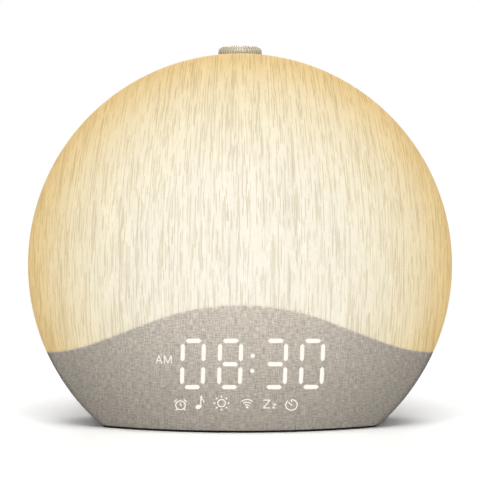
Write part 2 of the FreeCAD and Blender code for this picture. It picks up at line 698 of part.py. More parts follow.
def encoder_body():
    """Square encoder case with its round bush, bored for the shaft."""
    half = ENCODER_HALF
    case = box((-half, half), (KNOB_Y - half, KNOB_Y + half), (ENCODER_Z, ENCODER_Z + ENCODER_TALL))
    bush = rod_z(BUSH_RADIUS, 0, KNOB_Y, ENCODER_Z, BUSH_TOP)
    bore = rod_z(SHAFT_RADIUS + 0.06, 0, KNOB_Y, ENCODER_Z + 0.2, BUSH_TOP + 1)
    return case.fuse(bush).cut(bore)


def encoder_plunger():
    """Push-switch plunger under the encoder shaft."""
    return rod_z(ENCODER_PLUNGER_RADIUS, 0, KNOB_Y, SHAFT_BOTTOM - 0.35, SHAFT_BOTTOM - 0.05)


def shaft_solid(radius, bottom, top):
    """A shaft with a flat along its upper part."""
    shaft = rod_z(radius, 0, KNOB_Y, bottom, top)
    flat_start = max(bottom, KNOB_STEM_BOTTOM + 1)
    flat = box((-FAR, FAR), (KNOB_Y + radius - SHAFT_FLAT, FAR), (flat_start, FAR))
    return shaft.cut(flat)


def encoder_shaft():
    """Turning shaft that carries the knob."""
    return shaft_solid(SHAFT_RADIUS, SHAFT_BOTTOM, SHAFT_TOP)


def knob_form(inset):
    """Outer form of the knob with its rounded shoulder, moved inwards by inset."""
    radius = KNOB_RADIUS - inset
    top = KNOB_TOP - inset
    bend = KNOB_SHOULDER - inset
    lean = bend * math.sqrt(0.5)
    start = Vec(0, KNOB_Y, KNOB_BOTTOM)
    side_bottom = Vec(radius, KNOB_Y, KNOB_BOTTOM)
    side_top = Vec(radius, KNOB_Y, top - bend)
    middle = Vec(radius - bend + lean, KNOB_Y, top - bend + lean)
    crown = Vec(radius - bend, KNOB_Y, top)
    peak = Vec(0, KNOB_Y, top)
    edges = [
        Part.makeLine(start, side_bottom),
        Part.makeLine(side_bottom, side_top),
        Part.Arc(side_top, middle, crown).toShape(),
        Part.makeLine(crown, peak),
        Part.makeLine(peak, start),
    ]
    return Part.Face(Part.Wire(edges)).revolve(Vec(0, KNOB_Y, 0), UPWARDS, 360)


def knob_shell():
    """Knob with fine ribs that run up its side and over the shoulder, and a stem for the shaft."""
    core = knob_form(RIB_DEPTH)
    rib_skin = knob_form(0).cut(core)
    slabs = []
    rib_x = (KNOB_RADIUS - RIB_REACH, KNOB_RADIUS + 1)
    for i in range(KNOB_RIBS):
        slab = box(rib_x, (-RIB_WIDTH / 2, RIB_WIDTH / 2), (KNOB_BOTTOM - 1, KNOB_TOP + 1))
        slab.rotate(Vec(0, 0, 0), UPWARDS, 360 / KNOB_RIBS * i)
        slab.translate(Vec(0, KNOB_Y, 0))
        slabs.append(slab)
    ribs = rib_skin.common(Part.makeCompound(slabs))
    hollow = rod_z(KNOB_HOLLOW, 0, KNOB_Y, KNOB_BOTTOM - 1, KNOB_TOP - KNOB_ROOF)
    stem = rod_z(KNOB_STEM, 0, KNOB_Y, KNOB_STEM_BOTTOM, KNOB_TOP - 1)
    knob = fused([core.cut(hollow), stem] + ribs.Solids)
    bore = shaft_solid(SHAFT_RADIUS + 0.02, KNOB_STEM_BOTTOM - 1, SHAFT_TOP + 0.2)
    seat = rod_z(KNOB_CAP_RADIUS + 0.05, 0, KNOB_Y, KNOB_TOP - RIB_DEPTH - KNOB_CAP, KNOB_TOP)
    return knob.cut(bore).cut(seat)


def knob_cap():
    """Disc let into the top of the knob."""
    floor = KNOB_TOP - RIB_DEPTH - KNOB_CAP
    return rod_z(KNOB_CAP_RADIUS, 0, KNOB_Y, floor, floor + KNOB_CAP)


def key_x(index):
    """Where a key stands, counted from the left as seen from the front."""
    return (index - (len(KEY_NAMES) - 1) / 2) * KEY_PITCH


def key(x):
    """One key: a pill cap, a flange that holds it behind the wall, and a stem."""
    length, width = KEY_SIZE
    cap = pill_y(length, width, x, KEY_Z, KEY_FLANGE_Y[0], BODY_DEPTH / 2)
    flange = pill_y(length + 2, width + 2, x, KEY_Z, *KEY_FLANGE_Y)
    stem = rod_y(SWITCH_BUTTON, x, KEY_Z, KEY_STEM_END_Y, KEY_FLANGE_Y[0] + 0.5)
    return fused([cap, flange, stem])


def key_plunger(x):
    """The moving button of the switch behind a key."""
    return rod_y(SWITCH_BUTTON, x, KEY_Z, SWITCH_FRONT_Y - 1.4, KEY_STEM_END_Y)


def key_switches():
    """The five switch cases."""
    half = SWITCH / 2
    cases = []
    for i in range(len(KEY_NAMES)):
        x = key_x(i)
        case_y = (KEY_BOARD_Y + BOARD, SWITCH_FRONT_Y)
        case = box((x - half, x + half), case_y, (KEY_Z - half, KEY_Z + half))
        cases.append(case.cut(rod_y(SWITCH_BUTTON + 0.1, x, KEY_Z, SWITCH_FRONT_Y - 2.6, SWITCH_FRONT_Y)))
    return Part.makeCompound(cases)


def key_board():
    """Board behind the keys."""
    y_range = (KEY_BOARD_Y, KEY_BOARD_Y + BOARD)
    board = box((-KEY_BOARD_HALF, KEY_BOARD_HALF), y_range, KEY_BOARD_Z)
    holes = [rod_y(SCREW_CLEARANCE, side * KEY_POST_X, KEY_Z, *y_range) for side in (-1, 1)]
    return board.cut(Part.makeCompound(holes))


def rear_housing():
    """Moulded back with deep screw bosses, key pocket, grille seat, port pocket and knob well."""
    wall = skin(0, HOUSING_WALL).common(behind(SPLIT_Y + SEAM))
    inside = body(HOUSING_WALL - WELD)
    inner_back = BACK_Y - HOUSING_WALL
    bosses = [rod_y(HOUSING_BOSS, x, z, HOUSING_BOSS_END_Y, inner_back + 1) for x, z in HOUSING_SCREWS]
    for x, z in HOUSING_SCREWS:
        outwards = math.copysign(FAR, x)
        rib_y = (HOUSING_BOSS_END_Y + BOSS_BARE, inner_back + 1)
        rib = box(sorted((x, x + outwards)), rib_y, (z - RIB_HALF, z + RIB_HALF))
        bosses.append(rib.common(inside))
    bosses += [base_boss(x, y, (y, FAR)).common(inside) for x, y in BASE_BACK_SCREWS]
    for x, z in speaker_screw_places():
        bosses.append(rod_y(SPEAKER_PAD, x, z, speaker_face_y(), inner_back + 1))
    for side in (-1, 1):
        bosses.append(rod_y(KEY_POST, side * KEY_POST_X, KEY_Z, KEY_BOARD_Y + BOARD, inner_back + 1))
    pad = rod_z(WELL_PAD, 0, KNOB_Y, KNOB_WELL_FLOOR - WELL_FLOOR, FAR)
    bosses.append(pad.common(inside).common(behind(SPLIT_Y + SEAM)))
    housing = fused([wall] + bosses)
    return housing.cut(Part.makeCompound(rear_cuts()))


def rear_cuts():
    """Every hole and pocket of the rear housing."""
    length, width = KEY_SIZE
    inner_back = BACK_Y - HOUSING_WALL
    cuts = []
    for x, z in HOUSING_SCREWS:
        cuts.append(rod_y(HOUSING_HEAD_BORE, x, z, HOUSING_SEAT_Y, FAR))
        cuts.append(rod_y(SCREW_CLEARANCE, x, z, 0, FAR))
    for x, y in BASE_BACK_SCREWS:
        cuts.append(rod_z(PILOT_RADIUS, x, y, PLATE_TOP, BASE_RIB_TOP))
    row = (len(KEY_NAMES) - 1) * KEY_PITCH + length
    cuts.append(pill_y(row + POCKET_EDGE, width + POCKET_EDGE, 0, KEY_Z, BACK_Y - KEY_POCKET, FAR))
    play = 2 * KEY_CLEARANCE
    for i in range(len(KEY_NAMES)):
        cuts.append(pill_y(length + play, width + play, key_x(i), KEY_Z, WALL_CUT_Y, FAR))
    for side in (-1, 1):
        cuts.append(rod_y(PILOT_RADIUS, side * KEY_POST_X, KEY_Z, KEY_BOARD_Y, inner_back))
    cuts.append(rod_y(SPEAKER_HOLE, 0, SPEAKER_Z, WALL_CUT_Y, FAR))
    cuts.append(rod_y(GRILLE_RADIUS + 0.1, 0, SPEAKER_Z, BACK_Y - GRILLE - 0.05, FAR))
    for x, z in speaker_screw_places():
        cuts.append(rod_y(PILOT_RADIUS, x, z, speaker_face_y() - 1, inner_back + 1.3))
    cuts.append(pill_y(*PORT_POCKET, 0, PORT_Z, BACK_Y - KEY_POCKET, FAR))
    cuts.append(pill_y(*POWER_HOLE, POWER_X, PORT_Z, WALL_CUT_Y, FAR))
    half_width, half_height = CHARGE_HOLE
    charge_x = (CHARGE_X - half_width, CHARGE_X + half_width)
    cuts.append(box(charge_x, (WALL_CUT_Y, FAR), (PORT_Z - half_height, PORT_Z + half_height)))
    cuts.append(rod_z(KNOB_WELL, 0, KNOB_Y, KNOB_WELL_FLOOR, FAR))
    cuts.append(rod_z(KNOB_STEM + STEM_PLAY, 0, KNOB_Y, ENCODER_Z, FAR))
    return cuts


def speaker_grille():
    """Round grille let into the back, with level slots."""
    front = BACK_Y - GRILLE
    disc = rod_y(GRILLE_RADIUS, 0, SPEAKER_Z, front, BACK_Y)
    slots = []
    rows = int(GRILLE_SLOT_REACH // GRILLE_PITCH)
    for row in range(-rows, rows + 1):
        height = row * GRILLE_PITCH
        reach = math.sqrt(GRILLE_SLOT_REACH ** 2 - height ** 2) + GRILLE_SLOT / 2
        slots.append(pill_y(2 * reach, GRILLE_SLOT, 0, SPEAKER_Z + height, front - 1, BACK_Y + 1))
    return disc.cut(Part.makeCompound(slots))


def grille_cloth():
    """Dust cloth behind the grille."""
    front = BACK_Y - GRILLE - 0.45
    return rod_y(SPEAKER_HOLE - 0.2, 0, SPEAKER_Z, front, front + 0.35)


def speaker_gasket():
    """Foam ring between the speaker and the back."""
    inner_back = BACK_Y - HOUSING_WALL
    ring = rod_y(GASKET_OUTSIDE, 0, SPEAKER_Z, inner_back - 0.95, inner_back - 0.05)
    return ring.cut(rod_y(GASKET_INSIDE, 0, SPEAKER_Z, inner_back - 2, inner_back))


def speaker_face_y():
    """The plane in which the speaker flange faces the back."""
    return BACK_Y - HOUSING_WALL - 1.0


def speaker_screw_places():
    """Where the four speaker screws stand, as (x, z) pairs."""
    heights = (SPEAKER_Z - SPEAKER_SCREW, SPEAKER_Z + SPEAKER_SCREW)
    return [(x, z) for x in (-SPEAKER_SCREW, SPEAKER_SCREW) for z in heights]


def on_speaker(points):
    """Corner points of a speaker section, from (radius, distance ahead of the flange face) pairs."""
    return [Vec(r, speaker_face_y() - depth, SPEAKER_Z) for r, depth in points]


def speaker_basket():
    """Pressed frame: square flange, conical basket and terminal strip."""
    face = speaker_face_y()
    half = SPEAKER_HALF
    flange = box((-half, half), (face - FRAME, face), (SPEAKER_Z - half, SPEAKER_Z + half))
    flange = flange.makeFillet(SPEAKER_CORNER, [e for e in flange.Edges if abs(e.tangentAt(0).y) > 0.9])
    flange = flange.cut(rod_y(SPEAKER_OPENING, 0, SPEAKER_Z, face - 2, face + 1))
    floor = BASKET_DEPTH - BASKET_WALL
    outside = [(SPEAKER_OPENING + 1.2, 0), (SPEAKER_OPENING + 1.2, FRAME), (16.6, BASKET_DEPTH)]
    inside = [(12.0, BASKET_DEPTH), (12.0, floor), (15.9, floor), (SPEAKER_OPENING, 1.2)]
    section = on_speaker([(SPEAKER_OPENING, 0)] + outside + inside)
    basket = turned(section, Vec(0, 0, SPEAKER_Z), BACKWARDS)
    strip_y = (face - BASKET_DEPTH, face - floor)
    strip = box((-STRIP_HALF_WIDTH, STRIP_HALF_WIDTH), strip_y, (SPEAKER_Z - 24, SPEAKER_Z - 13))
    holes = [rod_y(SCREW_CLEARANCE, x, z, face - 2, face + 1) for x, z in speaker_screw_places()]
    return fused([flange, basket, strip]).cut(Part.makeCompound(holes))


def speaker_magnet():
    """Ring magnet and yoke on the back of the basket."""
    front = BASKET_DEPTH + TOUCH_GAP
    section = [(0, front), (15.0, front), (15.0, 19.0), (16.0, 19.0), (16.0, 22.0), (0, 22.0)]
    return turned(on_speaker(section), Vec(0, 0, SPEAKER_Z), BACKWARDS)


def speaker_cone():
    """Paper cone with its rolled edge and dust cap."""
    outer_face = [(0, 6.2), (6.0, 8.6), (8.0, 8.6), (19.0, 2.4), (21.0, 0.6), (22.6, 1.2)]
    inner_face = [(22.6, 1.6), (21.0, 1.2), (19.0, 3.0), (8.0, 9.4), (6.0, 9.4), (0, 7.0)]
    return turned(on_speaker(outer_face + inner_face), Vec(0, 0, SPEAKER_Z), BACKWARDS)


def base_boss(x, y, rib_y):
    """A boss for a screw of the bottom plate, with a rib towards the wall."""
    bottom = PLATE_TOP + TOUCH_GAP
    post = rod_z(BASE_BOSS, x, y, bottom, BASE_BOSS_TOP)
    rib = box((x - RIB_HALF, x + RIB_HALF), rib_y, (bottom, BASE_RIB_TOP))
    return post.fuse(rib)


def footprint(offset):
    """Outline of the body at its flat cut, moved inwards by offset, as a face on the table side."""
    wire = Part.Wire(body(offset).slice(UPWARDS, FOOT_HEIGHT)[0].Edges)
    return Part.Face(wire)


def base_plate():
    """Bottom plate with board posts, screw seats and the mouth of the coin-cell door."""
    plates = [
        footprint(SHELL_INSIDE + PLATE_CLEARANCE).extrude(Vec(0, 0, PLATE)).common(ahead_of(SPLIT_Y)),
        footprint(HOUSING_WALL + PLATE_CLEARANCE).extrude(Vec(0, 0, PLATE)).common(behind(SPLIT_Y)),
    ]
    posts = [rod_z(POWER_BOARD_POST, x, y, FOOT_HEIGHT + 1, POWER_BOARD_Z) for x, y in POWER_BOARD_POSTS]
    plate = fused(plates + posts)
    cuts = [rod_z(PILOT_RADIUS, x, y, PLATE_TOP, POWER_BOARD_Z) for x, y in POWER_BOARD_POSTS]
    for x, y in BASE_FRONT_SCREWS + BASE_BACK_SCREWS:
        cuts.append(rod_z(HEAD_RADIUS + 0.3, x, y, 0, FOOT_HEIGHT + HEAD_HEIGHT))
        cuts.append(rod_z(SCREW_CLEARANCE, x, y, 0, PLATE_TOP))
    cuts.append(rod_z(DOOR_RADIUS + DOOR_CLEARANCE, CELL_X, CELL_Y, 0, DOOR_Z[1] + DOOR_CLEARANCE))
    cuts.append(rod_z(DOOR_NECK + DOOR_CLEARANCE, CELL_X, CELL_Y, 0, PLATE_TOP + 1))
    cuts += [door_lug(start + DOOR_TURN, DOOR_CLEARANCE, (0, PLATE_TOP + 1)) for start in (0, 180)]
    return plate.cut(Part.makeCompound(cuts))


def door_lug(angle, growth, z_range):
    """A lug on the coin-cell door's edge, or with growth the notch that lets it through."""
    reach = LUG_RADIUS + growth
    half = LUG_HALF_WIDTH + growth
    wedge = box((DOOR_NECK - 0.9, reach), (-half, half), z_range)
    wedge = wedge.common(rod_z(reach, 0, 0, *z_range))
    wedge.rotate(Vec(0, 0, 0), UPWARDS, angle)
    wedge.translate(Vec(CELL_X, CELL_Y, 0))
    return wedge


def battery_door():
    """Round door under the coin cell, with two lugs above the plate and a coin slot below."""
    disc = rod_z(DOOR_RADIUS, CELL_X, CELL_Y, *DOOR_Z)
    collar = rod_z(DOOR_NECK, CELL_X, CELL_Y, DOOR_Z[0], LUG_Z[1])
    collar = collar.cut(rod_z(DOOR_NECK - 1.0, CELL_X, CELL_Y, PLATE_TOP - 0.6, LUG_Z[1] + 1))
    lugs = [door_lug(angle, 0, LUG_Z) for angle in (0, 180)]
    reach, half = COIN_SLOT
    slot = box((CELL_X - reach, CELL_X + reach), (CELL_Y - half, CELL_Y + half), (0, DOOR_Z[1]))
    return fused([disc, collar] + lugs).cut(slot)


def cell_holder():
    """Cup over the coin cell that stands on the bottom plate."""
    top = LUG_Z[1] + CELL + 2.4
    cup = rod_z(HOLDER_RADIUS, CELL_X, CELL_Y, PLATE_TOP, top)
    room = rod_z(HOLDER_RADIUS - 1.2, CELL_X, CELL_Y, PLATE_TOP - 1, top - 1.2)
    return cup.cut(room)


def coin_cell():
    """Backup cell with its stepped rim."""
    bottom = LUG_Z[1] + 0.3
    can = rod_z(CELL_RADIUS, CELL_X, CELL_Y, bottom + CELL_STEP, bottom + CELL)
    return can.fuse(rod_z(CELL_RADIUS - 1.3, CELL_X, CELL_Y, bottom, bottom + CELL_STEP))


def cell_contacts():
    """Two sprung strips in the holder, one above the cell and one at its side."""
    over = LUG_Z[1] + 0.3 + CELL
    top = box((CELL_X - 8, CELL_X + 3), (CELL_Y - 2, CELL_Y + 2), (over + 0.05, over + 0.35))
    side_x = CELL_X + CELL_RADIUS + 0.4
    side = box((side_x, side_x + 0.4), (CELL_Y - 3, CELL_Y + 3), (LUG_Z[1] + 0.2, over))
    return Part.makeCompound([top, side])


def foot_ring():
    """Soft black ring that the clock stands on."""
    outer = footprint(FOOT_INSET).extrude(Vec(0, 0, -FOOT_HEIGHT))
    inner = footprint(FOOT_INSET + FOOT_WIDTH).extrude(Vec(0, 0, -FOOT_HEIGHT))
    return outer.cut(inner)


def housing_screws():
    """Four screws at the bottom of the deep holes in the back."""
    return Part.makeCompound([screw(Vec(x, HOUSING_SEAT_Y, z), FRONTWARDS, 14) for x, z in HOUSING_SCREWS])


def front_screws():
    """Six screws that hold the dome and the front shell to the chassis."""
    places = tab_screw_places() + list(FRONT_BOSSES)
    return Part.makeCompound([screw(Vec(x, CHASSIS_BACK_Y, z), FRONTWARDS, 5.2) for x, z in places])


def base_screws():
    """Four screws that hold the bottom plate."""
    seats = BASE_FRONT_SCREWS + BASE_BACK_SCREWS
    return Part.makeCompound([screw(Vec(x, y, FOOT_HEIGHT + HEAD_HEIGHT), UPWARDS, 8) for x, y in seats])


def board_screws():
    """Screws of the control, lamp, power and key boards."""
    control = [screw(Vec(x, MAIN_BOARD_Y + BOARD, z), FRONTWARDS, 5) for x, z in MAIN_BOARD_SCREWS]
    lamp_y = CHASSIS_FRONT_Y - BOARD - 0.2 - REFLECTOR
    lamp = [screw(Vec(x, lamp_y, z), BACKWARDS, 4.6) for x, z in LED_BOARD_SCREWS]
    power = [screw(Vec(x, y, POWER_BOARD_Z + BOARD), UPWARDS * -1, 6) for x, y in POWER_BOARD_POSTS[:2]]
    keys = [screw(Vec(side * KEY_POST_X, KEY_BOARD_Y, KEY_Z), BACKWARDS, 6) for side in (-1, 1)]
    return Part.makeCompound(control + lamp + power + keys)


def speaker_screws():
    """Four screws through the speaker flange."""
    seat = speaker_face_y() - FRAME
    return Part.makeCompound([screw(Vec(x, seat, z), BACKWARDS, 3.6) for x, z in speaker_screw_places()])


def rounded_route(points):
    """A path of straight runs joined by tangent arcs, each as large as its two runs allow."""
    edges = []
    start = points[0]
    for before, corner, after in zip(points, points[1:], points[2:]):
        back = (before - corner).normalize()
        on = (after - corner).normalize()
        cut = 0.45 * min((before - corner).Length, (after - corner).Length)
        inner = corner + (back + on).normalize() * (cut / math.cos(back.getAngle(on) / 2))
        radius = cut * math.tan(back.getAngle(on) / 2)
        middle = inner + (corner - inner).normalize() * radius
        first, last = corner + back * cut, corner + on * cut
        edges.append(Part.makeLine(start, first))
        edges.append(Part.Arc(first, middle, last).toShape())
        start = last
    edges.append(Part.makeLine(start, points[-1]))
    return Part.Wire(edges)


def lead(points, radius=LEAD_RADIUS):
    """A round bundle of wires along a route."""
    route = rounded_route([Vec(*p) for p in points])
    direction = (Vec(*points[1]) - Vec(*points[0])).normalize()
    ring = Part.Wire(Part.makeCircle(radius, Vec(*points[0]), direction))
    return route.makePipeShell([ring], True, False)


def speaker_lead():
    """From the control board to the speaker's terminal strip."""
    back = MAIN_BOARD_Y + BOARD + 5
    strip = speaker_face_y() - BASKET_DEPTH
    board_end = [(20, back, 54.5), (20, back + 6, 54.5), (10, back + 12, 50)]
    return lead(board_end + [(0, strip - 6, 48), (0, strip, 48)])


def led_lead():
    """From the lamp board through the chassis to the control board."""
    x, z = LED_LEAD_AT
    through = [(x, CHASSIS_FRONT_Y, z), (x, 1.5, z)]
    return lead(through + [(-25, LEAD_Y, 68), (-20, LEAD_Y, 63), (-20, LEAD_Y, 57)])


def control_leads():
    """From the key board and from the encoder board to the control board."""
    keys = [(0, KEY_BOARD_Y, 106), (0, 24, 106), (0, 11, 96), (0, LEAD_Y, 80), (0, LEAD_Y, 55)]
    encoder = [(*ENCODER_LEAD_AT, ENCODER_BOARD_Z), (*ENCODER_LEAD_AT, 124), (14, 10, 108)]
    encoder += [(24, LEAD_Y, 88), (31.5, LEAD_Y, 72), (31.5, LEAD_Y, 57)]
    return Part.makeCompound([lead(keys), lead(encoder)])


def power_lead():
    """From the power board up to the control board."""
    start_y = 21
    end_y = MAIN_BOARD_Y + BOARD + 4.5
    return lead([(-7, start_y, 17.5), (-7, 16.5, 17.5), (-7, 12.5, 22), (-7, end_y, 22)])


def display_ribbon():
    """Flat cable from the display board under the chassis to the control board."""
    start = on_display(0, RIBBON_V, MASK_BACK_N - BOARD)
    leaving = on_display(0, RIBBON_V, MASK_BACK_N - BOARD - 4)
    route = rounded_route([start, leaving, Vec(0, -10, 12.3), Vec(0, 1.0, 11.0), Vec(0, 1.0, 15.0)])
    across = Vec(RIBBON_HALF_WIDTH, 0, 0)
    up = (leaving - start).cross(across).normalize() * RIBBON_HALF
    corners = [start + across * s + up * t for s, t in ((-1, -1), (1, -1), (1, 1), (-1, 1))]
    return route.makePipeShell([Part.makePolygon(corners + corners[:1])], True, False)


def all_parts():
    """Every named part with its shape."""
    parts = {
        "diffuser_dome": diffuser_dome(),
        "fabric_wrap": fabric_wrap(),
        "front_base_shell": front_base_shell(),
        "display_mask": display_mask(),
        "digit_light_guides": light_guides(time_cells()),
        "icon_light_guides": light_guides(icon_cells()),
        "display_leds": display_leds(),
        "display_board": display_board(),
        "display_ribbon": display_ribbon(),
        "reflector_sheet": reflector_sheet(),
        "led_board": led_board(),
        "led_chips": led_chips(),
        "chassis_frame": chassis_frame(),
        "main_board": main_board(),
        "board_chips": board_chips(),
        "board_connectors": board_connectors(),
        "power_board": power_board(),
        "power_port": power_port(),
        "charge_port": charge_port(),
        "encoder_board": encoder_board(),
        "encoder_body": encoder_body(),
        "encoder_plunger": encoder_plunger(),
        "encoder_shaft": encoder_shaft(),
        "knob_shell": knob_shell(),
        "knob_cap": knob_cap(),
        "key_board": key_board(),
        "key_switches": key_switches(),
        "rear_housing": rear_housing(),
        "speaker_grille": speaker_grille(),
        "grille_cloth": grille_cloth(),
        "speaker_gasket": speaker_gasket(),
        "speaker_basket": speaker_basket(),
        "speaker_cone": speaker_cone(),
        "speaker_magnet": speaker_magnet(),
        "base_plate": base_plate(),
        "foot_ring": foot_ring(),
        "battery_door": battery_door(),
        "cell_holder": cell_holder(),
        "coin_cell": coin_cell(),
        "cell_contacts": cell_contacts(),
        "housing_screws": housing_screws(),
        "front_screws": front_screws(),
        "base_screws": base_screws(),
        "board_screws": board_screws(),
        "speaker_screws": speaker_screws(),
        "speaker_lead": speaker_lead(),
        "led_lead": led_lead(),
        "control_leads": control_leads(),
        "power_lead": power_lead(),
    }
    for i, name in enumerate(KEY_NAMES):
        parts[name + "_key"] = key(key_x(i))
        parts[name + "_plunger"] = key_plunger(key_x(i))
    return parts


def main():
    """Builds and writes every part."""
    os.makedirs("parts", exist_ok=True)
    for name, shape in all_parts().items():
        shape.exportStep("parts/" + name + ".step")
        print(f"{name:20} solids {len(shape.Solids):3} valid {shape.isValid()} volume {shape.Volume:10.1f}")


main()
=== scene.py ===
"""Looks of a round sunrise alarm clock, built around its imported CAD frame.

The clock is a domed disc that stands on a flat cut. A linen skin covers the whole front: the part
above a wave-shaped line is lit from behind, and the part below it is plain cloth, through which the
time and a row of signs glow. Lengths are in millimetres until a mesh is finished, and then in metres.
"""

from __future__ import annotations

import json
import logging
import math
from dataclasses import dataclass
from enum import Enum
from typing import Any

import bmesh
import bpy
from mathutils import Matrix, Vector

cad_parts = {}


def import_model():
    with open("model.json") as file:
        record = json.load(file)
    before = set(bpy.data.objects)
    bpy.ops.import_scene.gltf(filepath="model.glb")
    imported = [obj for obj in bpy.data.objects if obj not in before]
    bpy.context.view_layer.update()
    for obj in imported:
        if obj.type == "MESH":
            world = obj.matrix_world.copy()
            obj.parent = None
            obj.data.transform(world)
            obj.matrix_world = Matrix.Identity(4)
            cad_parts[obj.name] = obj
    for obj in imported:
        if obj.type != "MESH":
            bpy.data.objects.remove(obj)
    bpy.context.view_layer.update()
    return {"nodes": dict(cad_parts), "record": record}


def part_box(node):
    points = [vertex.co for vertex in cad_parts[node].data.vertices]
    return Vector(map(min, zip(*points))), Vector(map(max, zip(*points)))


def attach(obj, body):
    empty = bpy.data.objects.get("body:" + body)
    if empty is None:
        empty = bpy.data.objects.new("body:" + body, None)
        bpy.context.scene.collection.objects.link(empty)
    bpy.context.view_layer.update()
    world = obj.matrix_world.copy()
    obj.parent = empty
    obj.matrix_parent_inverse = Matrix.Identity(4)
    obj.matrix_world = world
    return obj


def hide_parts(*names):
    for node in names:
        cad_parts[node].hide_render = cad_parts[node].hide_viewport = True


log = logging.getLogger("sunrise_clock")

MM = 0.001
WAVE_DEPTH = "wave_depth"
HOUSING = "housing"
KEY_NAMES = ("alarm", "sound", "light", "wireless", "timer")
RAYS_SEEN = ("Camera", "Glossy", "Transmission")
WHITE = (1.0, 1.0, 1.0, 1.0)

# A place on the front as (x, z), in millimetres
Place = tuple[float, float]


def linear(red: int, green: int, blue: int) -> tuple[float, float, float]:
    """Turns an 8-bit display colour into linear light.

    Args:
        red: Red from 0 to 255.
        green: Green from 0 to 255.
        blue: Blue from 0 to 255.

    Returns:
        The three linear values.
    """

    def channel(value: int) -> float:
        """Linear light of one channel."""
        share = value / 255
        return share / 12.92 if share <= 0.04045 else ((share + 0.055) / 1.055) ** 2.4

    return channel(red), channel(green), channel(blue)


class Value:
    """A shader socket that takes part in Python expressions."""

    def __init__(self, graph: "Graph", socket: bpy.types.NodeSocket) -> None:
        """Wraps a socket of a graph."""
        self.graph = graph
        self.socket = socket

    def _math(self, operation: str, first: Any, second: Any = 0.0) -> "Value":
        """Adds one Math node on two operands."""
        return self.graph.node("ShaderNodeMath", {"operation": operation}, {0: first, 1: second})

    def __add__(self, other: Any) -> "Value":
        """Sum."""
        return self._math("ADD", self, other)

    def __radd__(self, other: Any) -> "Value":
        """Reflected sum."""
        return self._math("ADD", other, self)

    def __sub__(self, other: Any) -> "Value":
        """Difference."""
        return self._math("SUBTRACT", self, other)

    def __rsub__(self, other: Any) -> "Value":
        """Reflected difference."""
        return self._math("SUBTRACT", other, self)

    def __mul__(self, other: Any) -> "Value":
        """Product."""
        return self._math("MULTIPLY", self, other)

    def __rmul__(self, other: Any) -> "Value":
        """Reflected product."""
        return self._math("MULTIPLY", other, self)

    def __truediv__(self, other: Any) -> "Value":
        """Quotient."""
        return self._math("DIVIDE", self, other)

    def __pow__(self, other: Any) -> "Value":
        """Power."""
        return self._math("POWER", self, other)

    def cosine(self) -> "Value":
        """Cosine of the value in radians."""
        return self._math("COSINE", self)

    def floor(self) -> "Value":
        """Whole number at or below the value."""
        return self._math("FLOOR", self)

    def turn(self, across: "Value") -> "Value":
        """Angle in radians of a direction, where this value is its part along the second axis."""
        return self._math("ARCTAN2", self, across)

    def most(self, other: Any) -> "Value":
        """The greater of two values."""
        return self._math("MAXIMUM", self, other)

    def between(self, low: float, high: float) -> "Value":
        """Rises smoothly from 0 at low to 1 at high.

        Args:
            low: Where the result is 0.
            high: Where the result is 1.

        Returns:
            The smoothed step.
        """
        settings = {"interpolation_type": "SMOOTHSTEP"}
        return self.graph.node("ShaderNodeMapRange", settings, {0: self, 1: low, 2: high})


